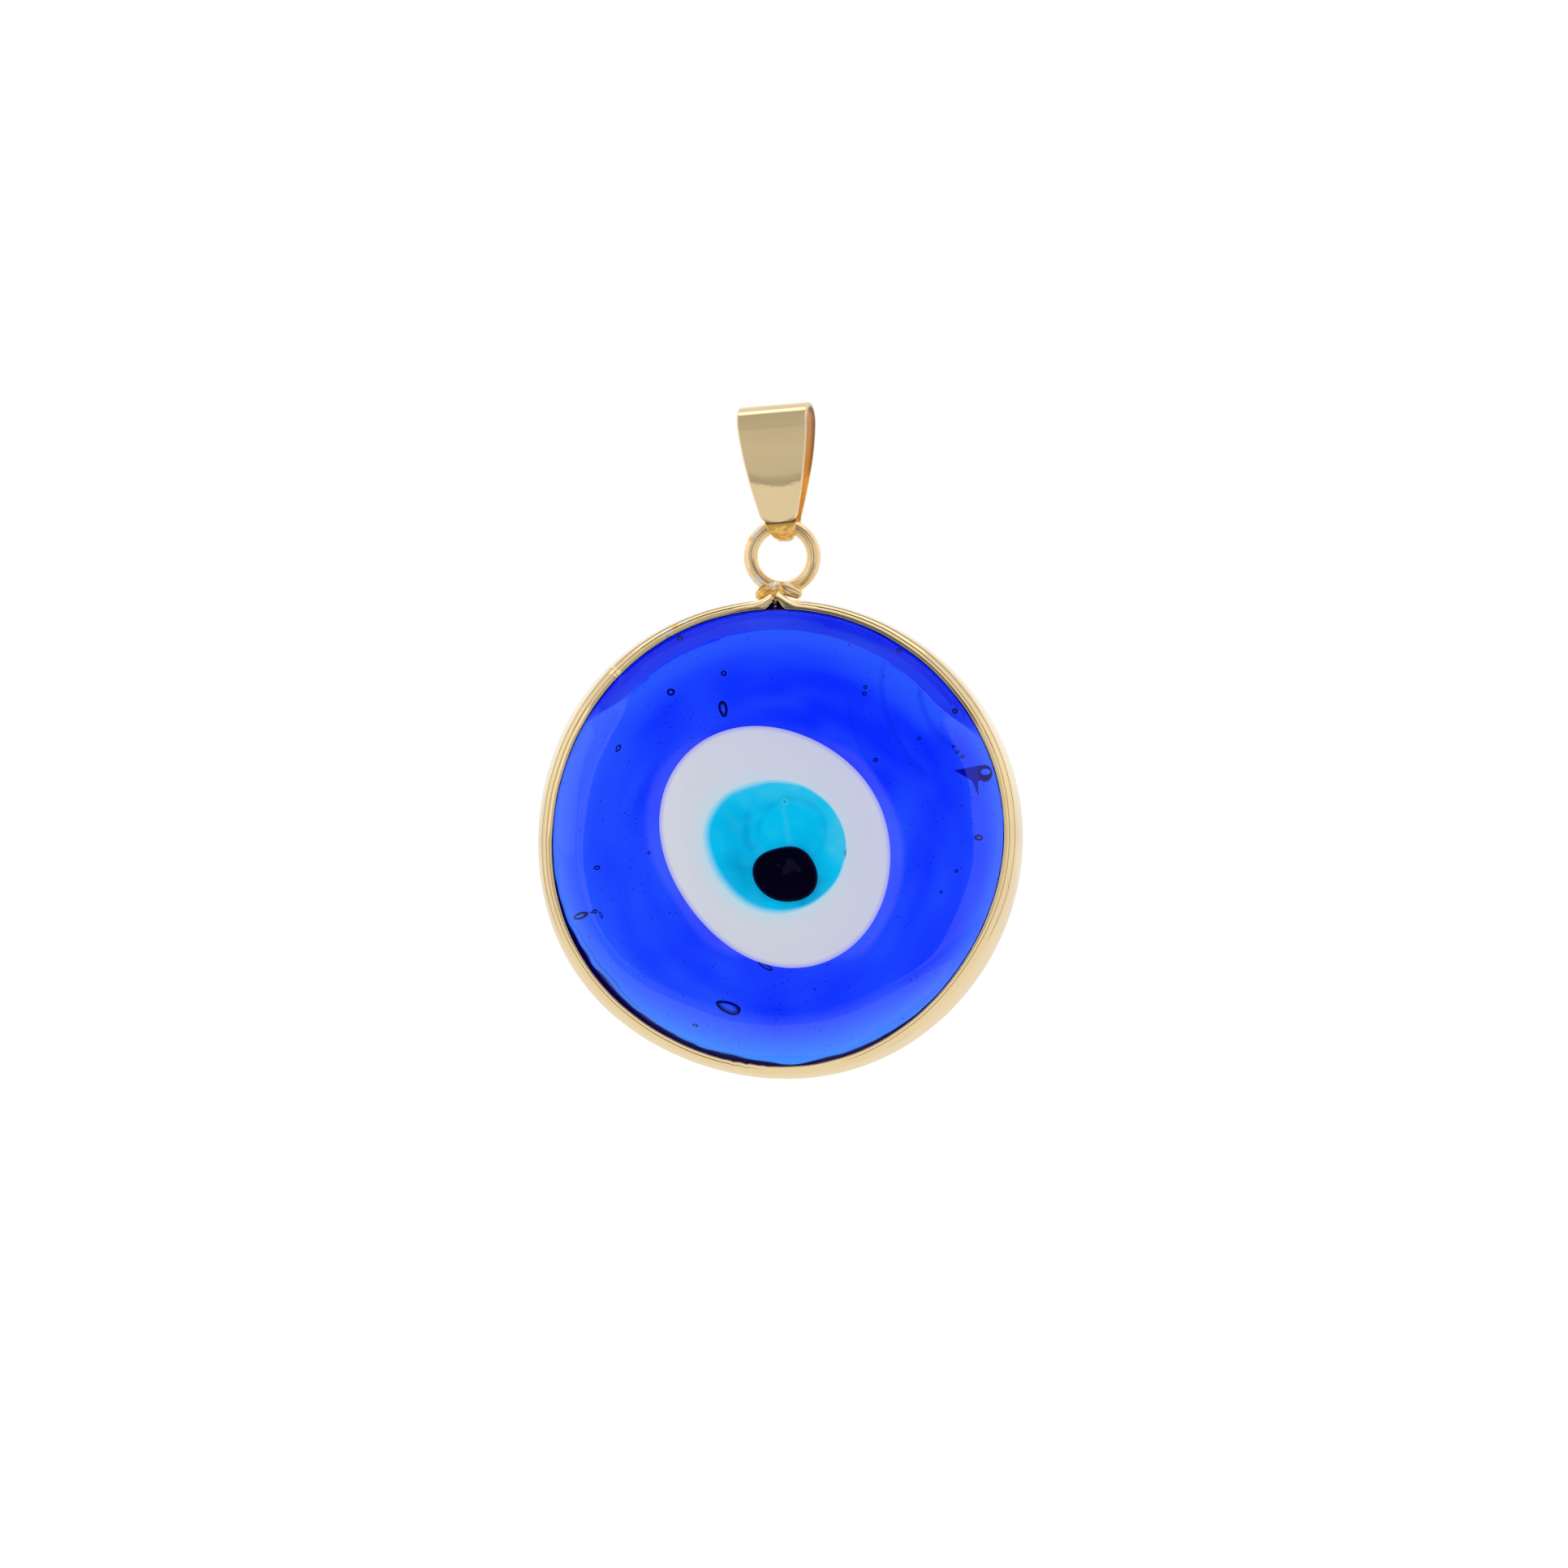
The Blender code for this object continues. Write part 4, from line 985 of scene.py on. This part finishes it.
def buildBand():
    # the section carried round the disc, crowded near the seam, its front lip turned up at both ends
    half = band["seamGap"] / 2 / band["radius"]
    u = np.linspace(0, 1, band["steps"])
    start = np.radians(band["seam"]) + half
    angle = start + (fullTurn - 2 * half) * (u - band["crowding"] * np.sin(fullTurn * u) / fullTurn)
    section, rims = bandSection(angle)
    r, y = section[..., 0], section[..., 1]
    away = np.degrees(np.minimum(angle - start, angle[-1] - angle))[:, None]
    isLeft = (u < 0.5)[:, None]
    lifted = smoothStep(lipFlare["start"], lipFlare["full"], -y)
    outwards = np.clip((r - lipRadius(angle)[:, None]) / band["lipWidth"], 0, 1)
    reach = mixed(lipFlare["innerSpread"], lipFlare["spread"], outwards)
    rise = np.where(isLeft, lipFlare["leftRise"], lipFlare["rightRise"])
    r = r + rise * lifted * bump(away, 0, reach)
    cut = np.where(isLeft, np.radians(lipFlare["leftCut"]), 0) * lifted * bump(away, 0, lipFlare["cutSpread"])
    turned = angle[:, None] + cut
    where, wide, deep = band["nick"]
    y = y + deep * lifted * bump(np.degrees(angle), where, wide)[:, None]
    rows = np.stack([r * np.cos(turned), y, r * np.sin(turned)], -1)
    # painted sheen on the outer wall, paler towards the top
    level, more = bandFace["paintedSheen"]
    paintedSheen = level + more * smoothStep(*bandFace["paintedSheenTurn"], np.sin(angle))
    part = facing(shell(rows + discMiddle, rim=rims[None, :] * paintedSheen[:, None]))
    wearAndHighlights = placeSpots(discMiddle, bandWear)
    finish = goldFinish("gold_band", bandFace["roughness"], bandFace["grain"], wearAndHighlights, paintedRimSheen=True)
    addPiece("channel_band", [part], finish, "drop", "bezel_band")


# Wire loop with crossed ends; its worn spots are placed from the ring's middle

wire = {
    "footShare": 1.16, "noseLength": 0.165, "noseLeast": 0.05, "unevenWave": (0.010, 0.9, 31),
    "roughness": 0.19, "grain": 0.2, "metal": 0.80,
    "wearAndHighlights": ((-1.70, -0.3, 1.50, 0.24, "silver"), (-1.92, -0.2, 1.08, 0.15, "orange"),
             (-1.48, -0.6, -1.52, 0.26, "silver"), (1.10, -0.7, -2.62, 0.20, "orange")),
}


def tube(path, radius, sides):
    # round skin carried along a path that lies near the XZ plane
    along = np.gradient(path, axis=0)
    along /= np.linalg.norm(along, axis=1, keepdims=True)
    across = np.cross(along, [0.0, 1.0, 0.0])
    across /= np.linalg.norm(across, axis=1, keepdims=True)
    deep = np.cross(across, along)
    angle = np.linspace(0, fullTurn, sides, endpoint=False)
    return (path[:, None] + (radius[:, None] * np.cos(angle))[..., None] * across[:, None]
            + (radius[:, None] * np.sin(angle))[..., None] * deep[:, None])


def loopPath():
    # right foot, ring, left foot: the ring's ends part along Y where they cross, the feet fall onto the band
    offset = (loop["wire"] + loop["crossGap"]) / 2
    thick, tip = loop["wire"] / 2, loop["footTip"] / 2
    turn = np.linspace(0, fullTurn, loop["turns"])
    fromEnd = np.minimum(turn, fullTurn - turn)
    share = np.minimum(fromEnd / np.radians(loop["crossSweep"]), 1)
    part = np.where(turn < np.pi, -1, 1) * offset * (1 + np.cos(np.pi * share)) / 2
    ring = loopMiddle + np.stack([-loop["radius"] * np.sin(turn), part, -loop["radius"] * np.cos(turn)], -1)
    tipAngle = np.arctan2(bandRadius(np.pi / 2), loop["x"] + loop["footReach"])
    tipZ = bandRadius(tipAngle) * np.sin(tipAngle) + loop["footGap"] + tip
    lowZ = loopMiddle[2] - loop["radius"]
    share = np.linspace(wire["footShare"], 0, loop["footSteps"], endpoint=False)
    foot = np.stack([loopMiddle[0] + loop["footReach"] * share, -offset + 0 * share,
                     mixed(lowZ, tipZ, share ** loop["footFall"])], -1)
    thin = mixed(thick, tip, np.minimum(share, 1) ** 2)
    nose = np.sqrt(np.maximum(1 - (np.maximum(share - 1, 0) / wire["noseLength"]) ** 2, 0.0))
    footRadius = thin * np.maximum(nose, wire["noseLeast"])
    otherFoot = foot[::-1] * [-1, -1, 1] + [2 * loopMiddle[0], 0, 0]
    path = np.concatenate([foot, ring, otherFoot])
    return path, np.concatenate([footRadius, np.full(len(ring), thick), footRadius[::-1]])


def buildLoop():
    path, radius = loopPath()
    rows = tube(path, radius, loop["sides"]) + discMiddle
    middle = (path + discMiddle)[:, None]
    rows = middle + (rows - middle) * (1 + waves(rows, wire["unevenWave"])[..., None])
    wearAndHighlights = placeSpots(loopMiddle + discMiddle, wire["wearAndHighlights"])
    finish = goldFinish("gold_wire", wire["roughness"], wire["grain"], wearAndHighlights, base="wire", metal=wire["metal"])
    addPiece("wire_loop", [facing(shell(rows))], finish, "drop", "hanging_loop")


# Solder at the seam: lumps with x, y, z from the top of the band, then width, depth, height

solder = {
    "lumps": (
        (-0.55, -0.72, 0.45, 1.70, 1.40, 1.15), (-0.20, -1.05, 0.62, 0.75, 0.60, 0.55),
        (-1.05, -0.65, 0.28, 0.95, 1.00, 0.80), (-0.32, -1.35, 0.30, 0.40, 0.45, 0.42),
        (-0.12, -1.55, 0.18, 0.26, 0.26, 0.24), (-0.40, -1.60, 0.08, 0.24, 0.24, 0.22),
        (-0.26, -1.62, -0.06, 0.18, 0.18, 0.16), (-0.16, -1.50, 0.40, 0.28, 0.24, 0.22),
        (-0.31, -0.40, -0.16, 0.34, 2.40, 0.46), (-0.52, -1.00, 0.86, 0.62, 0.46, 0.34),
        (-0.22, -1.02, 0.98, 0.50, 0.40, 0.30),
    ),
    # worn colours, and two white spots that are painted highlights
    "wearAndHighlights": ((-1.00, -1.1, 0.45, 0.40, "orange"), (-1.18, -1.0, 0.84, 0.26, "brown"),
             (-0.50, -1.2, 0.90, 0.12, "white"), (-0.24, -1.2, 1.01, 0.14, "white")),
    "swell": (0.13, 1.6), "grit": (0.05, 0.5), "firstDraw": 50, "steps": 42, "turns": 64,
    "roughness": 0.26, "grain": 0.35, "metal": 0.75,
}


def lumpShell(origin, seed, x, y, z, wide, deep, high):
    # ball swollen unevenly along its own directions
    polar = np.linspace(0, np.pi, solder["steps"])[1:-1, None]
    angle = np.linspace(0, fullTurn, solder["turns"], endpoint=False)[None, :]
    ball = np.stack([np.sin(polar) * np.cos(angle), np.sin(polar) * np.sin(angle),
                     np.cos(polar) + 0 * angle], -1)
    swollen = 1 + waves(ball, (*solder["swell"], seed), (*solder["grit"], seed + 1))
    rows = origin + [x, y, z] + ball * swollen[..., None] * np.array([wide, deep, high]) / 2
    return facing(shell(rows))


def buildSolder():
    top = discMiddle + [0, 0, bandRadius(np.pi / 2)]
    parts = [lumpShell(top, solder["firstDraw"] + 2 * i, *lump) for i, lump in enumerate(solder["lumps"])]
    finish = goldFinish("gold_solder", solder["roughness"], solder["grain"], placeSpots(top, solder["wearAndHighlights"]),
                        base="solder", metal=solder["metal"])
    addPiece("solder_lumps", parts, finish, "drop", "solder_bead")


# Folded bail

bail = {
    "sheet": 0.32, "height": 7.50, "foldRise": 1.16, "topWidth": 4.44, "frontWidth": 2.06, "backWidth": 1.30,
    "waist": 0.74, "waistBackPower": 4.5, "waistFrontPower": 1.5, "tongueWidth": 1.98, "frontEnd": 0.19,
    "corner": 0.45, "tongueEnd": 0.75, "lapGap": 0.06,
    "leftChamfer": (0.09, 0.08), "rightChamfer": (0.07, 0.07),
    "lean": 4.5, "yaw": 11.5, "play": 0.70, "seatGap": 0.26, "bow": 0.10, "crossBow": 0.036,
    "leafSteps": 90, "leafCrowding": 1.5, "foldSteps": 70, "tongueSteps": 6, "faceSteps": 39,
    "underSteps": 15, "topFrom": -3.4, "topFull": -0.6, "underLeaf": 0.12,
    "farEdge": (0.80, 1.0), "farRise": (2.6, 3.6), "farShade": 0.8,
    "tongueRough": 0.034, "roughLumps": ((1, 0.75, 41), (0.45, 0.36, 42)), "roughLeast": -0.6,
    "roughTurn": (1.35, 1.6), "roughRise": (-0.1, 0.2), "tongueTurn": 1.3, "lapTurn": 1.6,  # half circles
    "roughness": 0.02, "grain": 0.06,
}


def bailRoute():
    # stations (y, z, turn of the outer side, half width): up the front leaf, over the fold, down the back,
    # under the wire and up behind the front leaf
    sheet = bail["sheet"]
    back = loop["wire"] / 2 + bail["play"] + sheet / 2
    front = -back - sheet - bail["lapGap"]
    foldDeep, foldY, foldRise = (back - front) / 2, (back + front) / 2, bail["foldRise"]
    foldZ = bail["height"] - foldRise - sheet / 2
    bendZ = bail["play"] - bail["seatGap"]

    def leafHalf(low, z):
        return mixed(low, bail["topWidth"], np.sin(np.pi / 2 * np.clip(z / bail["height"], 0, 1))) / 2

    share = np.linspace(0, 1, bail["leafSteps"], endpoint=False) ** bail["leafCrowding"]
    rise = (foldZ - bail["frontEnd"]) * share
    z = bail["frontEnd"] + rise
    short = np.maximum(bail["corner"] - rise, 0)
    half = leafHalf(bail["frontWidth"], z) - bail["corner"] + np.sqrt(bail["corner"] ** 2 - short ** 2)
    bow = bail["bow"] * np.sin(np.pi * share)
    legs = [np.stack([front - bow, z, -np.arctan(np.gradient(bow, z)), half], -1)]
    turn = np.linspace(0, np.pi, bail["foldSteps"])
    z = foldZ + foldRise * np.sin(turn)
    low = mixed(bail["frontWidth"], bail["backWidth"], turn / np.pi)
    facingTurn = np.arctan2(foldDeep * np.sin(turn), foldRise * np.cos(turn))
    legs.append(np.stack([foldY - foldDeep * np.cos(turn), z, facingTurn, leafHalf(low, z)], -1))
    z = np.linspace(foldZ, bendZ, bail["leafSteps"])[1:-1]
    legs.append(np.stack([back + 0 * z, z, np.pi + 0 * z, leafHalf(bail["backWidth"], z)], -1))
    isBack = turn < np.pi / 2
    endHalf = np.where(isBack, leafHalf(bail["backWidth"], bendZ), bail["tongueWidth"] / 2)
    power = np.where(isBack, bail["waistBackPower"], bail["waistFrontPower"])
    half = mixed(bail["waist"] / 2, endHalf, np.abs(np.cos(turn)) ** power)
    legs.append(np.stack([back * np.cos(turn), bendZ - back * np.sin(turn), np.pi + turn, half], -1))
    z = np.linspace(bendZ, bail["tongueEnd"], bail["tongueSteps"])[1:]
    legs.append(np.stack([-back + 0 * z, z, fullTurn + 0 * z, bail["tongueWidth"] / 2 + 0 * z], -1))
    seat = np.array([0, foldY, foldZ + foldRise - sheet / 2])
    leg = np.concatenate([np.full(len(part), i) for i, part in enumerate(legs)])
    return np.concatenate(legs), seat, leg


def bailTurn():
    # the lean about Y after the yaw about Z
    lean, yaw = np.radians(-bail["lean"]), np.radians(-bail["yaw"])
    aboutY = np.array([[np.cos(lean), 0, np.sin(lean)], [0, 1, 0], [-np.sin(lean), 0, np.cos(lean)]])
    aboutZ = np.array([[np.cos(yaw), -np.sin(yaw), 0], [np.sin(yaw), np.cos(yaw), 0], [0, 0, 1]])
    return aboutY @ aboutZ


def buildBail():
    # flat section with soft outer edges, carried along the route; the tongue is rough, the inside dull
    route, seat, leg = bailRoute()
    y, z, turn, half = route.T
    halfTurns, half = turn / np.pi, half[:, None]
    thick = bail["sheet"] / 2
    outward = np.stack([0 * turn, -np.cos(turn), np.sin(turn)], -1)
    (leftWide, leftDeep), (rightWide, rightDeep) = bail["leftChamfer"], bail["rightChamfer"]
    share = np.linspace(0, 1, bail["faceSteps"])
    face = (leftWide - half) * (1 - share) + (half - rightWide) * share
    x = np.concatenate([-half, face, half, half * np.linspace(1, -1, bail["underSteps"])], 1)
    isOuter = np.arange(x.shape[1]) < bail["faceSteps"] + 2
    pillow = bail["crossBow"] * (1 - (x / half) ** 2) * (leg == 0)[:, None]
    cut = np.concatenate([[leftDeep], 0 * share, [rightDeep], np.zeros(bail["underSteps"])])
    out = np.where(isOuter, thick - cut + pillow, -thick)
    rows = np.stack([x, y[:, None] + 0 * x, z[:, None] + 0 * x], -1) + outward[:, None] * out[..., None]
    onTongue = (leg == 3) * smoothStep(*bail["roughTurn"], halfTurns)
    onTongue = onTongue * (1 - smoothStep(*bail["roughRise"], z))
    rough = bail["tongueRough"] * onTongue[:, None] * isOuter
    lumpy = np.maximum(waves(rows, *bail["roughLumps"]), bail["roughLeast"])
    rows = rows + outward[:, None] * (rough * lumpy)[..., None] - seat
    tongue = ((leg >= 3) & (halfTurns > bail["tongueTurn"])) * 1.0
    # painted shadow on the tongue just below the front leaf's lower edge, and painted shade along the
    # inside's far edge near the top
    under = (halfTurns > bail["lapTurn"]) * smoothStep(-bail["underLeaf"], 0, z - bail["frontEnd"])
    inside = np.where(isOuter, 0.0, 1.0)
    farEdge = inside * smoothStep(*bail["farEdge"], x / half) * smoothStep(*bail["farRise"], z)[:, None]
    part = shell(rows @ bailTurn().T, tongue=tongue[:, None], inside=inside,
                 under=np.maximum(under[:, None], bail["farShade"] * farEdge))
    finish = goldFinish("gold_sheet", bail["roughness"], bail["grain"], marked=True)
    addPiece("folded_bail", [facing(part)], finish, "bail", "bail", crease=35)


buildGlass()
buildEye()
buildBand()
buildLoop()
buildSolder()
buildBail()


# Stage: pale floor, a soft studio all round, camera as in the photograph

photo = {"side": 1932, "spanPx": 596, "spanMm": 30.0, "discX": 961, "discY": 1034}
studio = {  # directions on the sky are shares of -1 to 1 along an axis; levels are (direction, level)
    "floorDrop": 0.16, "floorFront": 0.12, "floorBack": 5.0, "floorSide": 5.0,
    "floorColour": (0.72, 0.72, 0.72, 1), "floorRoughness": 0.9, "floorShine": 0.1,
    "floorFar": (0.45, 1.30), "floorMirrored": (0.05, 0.12), "floorThrough": (0.05, 0.30), "floorShown": 0.45,
    "cameraBack": 0.60, "sensor": 36,
    "tent": ((-1.0, 0.012), (-0.988, 0.03), (-0.94, 0.18), (-0.77, 0.38), (-0.5, 0.62), (-0.17, 0.92),
             (0.0, 1.0), (1.0, 1.0)),  # what a mirror sees round the camera
    "window": ((-1.0, 0.34), (-0.24, 0.34), (-0.12, 0.79), (-0.041, 0.79), (-0.0385, 0.40), (-0.02, 0.48),
               (0.0, 0.60), (0.08, 0.63), (0.13, 0.53), (1.0, 0.50)),  # the window at the left, by rise
    "back": ((-1.0, 0.86), (0.0, 0.86), (0.25, 1.00), (0.45, 1.00), (0.56, 0.86), (1.0, 0.82)),
    "strip": (0.09, 0.17, 0.68), "stripHigh": (0.42, 0.26), "overhead": (0.25, 0.55, 0.35),  # from, to, level
    "overheadFront": (-0.42, -0.60), "horizon": (-0.12, 0.12), "windowLeft": (-0.66, -0.56),
    "windowRight": (-0.09, -0.16), "through": (0.30, 0.80, 0.06, 1.09), "diffuse": 1.08,
    "cardX": -0.39, "cardHalf": 0.105, "cardLow": -0.041, "cardRound": 0.016, "cardSoft": 0.004,
    "cardTop": (0.12, 0.09), "cardFoot": (-0.22, -0.12), "cardBeside": 0.79,
    "panels": (  # name, place, width, height, radiance
        ("top_panel", (0.0, 0.15, 0.80), 1.30, 0.30, 0.75),
        ("left_panel", (-0.95, -0.55, 0.25), 0.60, 0.60, 0.35),
    ),
}


def buildFloor():
    # pale floor that looks white to the camera and keeps a soft shadow; it glows more where it is far away
    side, front, back, low = (studio[key] for key in ("floorSide", "floorFront", "floorBack", "floorDrop"))
    corners = [(-side, -front, -low), (side, -front, -low), (side, back, -low), (-side, back, -low)]
    mesh = bpy.data.meshes.new("floor")
    mesh.from_pydata(corners, [], [(0, 1, 2, 3)])
    material, tree, shader = newMaterial("floor_card")
    far = pointMath(tree, "LENGTH", objectPlace(tree))
    mirrored, through = (spread(tree, far, *studio["floorFar"], *studio[key])
                         for key in ("floorMirrored", "floorThrough"))
    feed(tree, shader, {
        "Base Color": studio["floorColour"], "Roughness": studio["floorRoughness"],
        "Specular IOR Level": studio["floorShine"], "Emission Color": (1, 1, 1, 1),
        "Emission Strength": byRay(tree, 0.0, mirrored, through, studio["floorShown"])})
    mesh.materials.append(material)
    floor = bpy.data.objects.new("floor", mesh)
    bpy.context.scene.collection.objects.link(floor)


def grey(tree, level):
    return addNode(tree, "ShaderNodeCombineColor", {0: level, 1: level, 2: level}).outputs[0]


def skyLevel(tree, rise, bands):
    # level by height on the sky, from stops of (rise, level)
    ramp = addNode(tree, "ShaderNodeValToRGB", {"Fac": spread(tree, rise, -1, 1, smooth=False)})
    stops = ramp.color_ramp
    while len(stops.elements) < len(bands):
        stops.elements.new(0.5)
    for element, (height, level) in zip(stops.elements, bands):
        element.position = 0.5 + 0.5 * height
        element.color = (level, level, level, 1)
    return addNode(tree, "ShaderNodeRGBToBW", {0: ramp.outputs["Color"]}).outputs[0]


def besideCard(tree, axes):
    # 0 on the darker card in the window, 1 beside it: distance outside a rounded rectangle
    soft = studio["cardRound"]
    across = combine(tree, "ABSOLUTE", combine(tree, "SUBTRACT", axes["X"], studio["cardX"]))
    across = combine(tree, "SUBTRACT", across, studio["cardHalf"] - soft)
    below = combine(tree, "SUBTRACT", studio["cardLow"] + soft, axes["Z"])
    squares = (combine(tree, "POWER", combine(tree, "MAXIMUM", side), 2.0) for side in (across, below))
    reach = combine(tree, "SQRT", combine(tree, "ADD", *squares))
    beside = spread(tree, reach, soft, soft + studio["cardSoft"])
    for end in ("cardTop", "cardFoot"):
        beside = times(tree, beside, spread(tree, axes["Z"], *studio[end]))
    return beside


def buildWorld():
    # white behind the object; in front a tent that darkens towards the camera, with a tall window at the left
    world = bpy.data.worlds.new("studio")
    bpy.context.scene.world = world
    world.use_nodes = True
    tree = world.node_tree
    axes = axesOf(tree, addNode(tree, "ShaderNodeTexCoord").outputs["Generated"])
    *reach, bright = studio["strip"]
    flat = spread(tree, combine(tree, "ABSOLUTE", axes["Z"]), *studio["stripHigh"])
    strip = times(tree, times(tree, spread(tree, axes["X"], *reach), flat), bright)
    tent = combine(tree, "MAXIMUM", skyLevel(tree, axes["Y"], studio["tent"]), strip)
    *reach, dark = studio["overhead"]
    above = times(tree, spread(tree, axes["Z"], *reach), spread(tree, axes["Y"], *studio["overheadFront"]))
    tent = times(tree, tent, between(tree, above, 1.0, dark))
    window = skyLevel(tree, axes["Z"], studio["window"])
    window = between(tree, besideCard(tree, axes), window, studio["cardBeside"])
    left, right = (spread(tree, axes["X"], *studio[key]) for key in ("windowLeft", "windowRight"))
    inFront = between(tree, times(tree, left, right), tent, window)
    behind = skyLevel(tree, axes["Z"], studio["back"])
    mirrored = between(tree, spread(tree, axes["Y"], *studio["horizon"]), inFront, behind)
    through = spread(tree, axes["Y"], *studio["through"])
    shown = byRay(tree, studio["diffuse"], mirrored, through, 1.0)
    feed(tree, tree.nodes["Background"], {"Color": grey(tree, shown)})


def buildLamps(target):
    for name, place, wide, high, radiance in studio["panels"]:
        data = bpy.data.lights.new(name, "AREA")
        data.shape = "RECTANGLE"
        data.size, data.size_y = wide, high
        data.energy = radiance * np.pi * wide * high
        lamp = bpy.data.objects.new(name, data)
        lamp.location = target + np.array(place)
        lamp.rotation_euler = Vector(-np.array(place)).to_track_quat("-Z", "Y").to_euler()
        lamp.visible_camera = False
        bpy.context.scene.collection.objects.link(lamp)


def buildCamera():
    # straight-on view: the photograph's pixels give the place and width of the frame in millimetres
    scale = photo["spanMm"] / photo["spanPx"]
    middle = photo["side"] / 2
    aim = discMiddle + [(middle - photo["discX"]) * scale, 0, (photo["discY"] - middle) * scale]
    camera = bpy.data.objects.new("camera", bpy.data.cameras.new("camera"))
    camera.location = aim * mm - [0, studio["cameraBack"], 0]
    camera.rotation_euler = (np.pi / 2, 0, 0)
    camera.data.sensor_width = studio["sensor"]
    camera.data.lens = studio["sensor"] * studio["cameraBack"] / (photo["side"] * scale * mm)
    bpy.context.scene.collection.objects.link(camera)
    bpy.context.scene.camera = camera


buildFloor()
buildWorld()
buildLamps(discMiddle * mm)
buildCamera()
bpy.context.scene.view_settings.view_transform = "Standard"
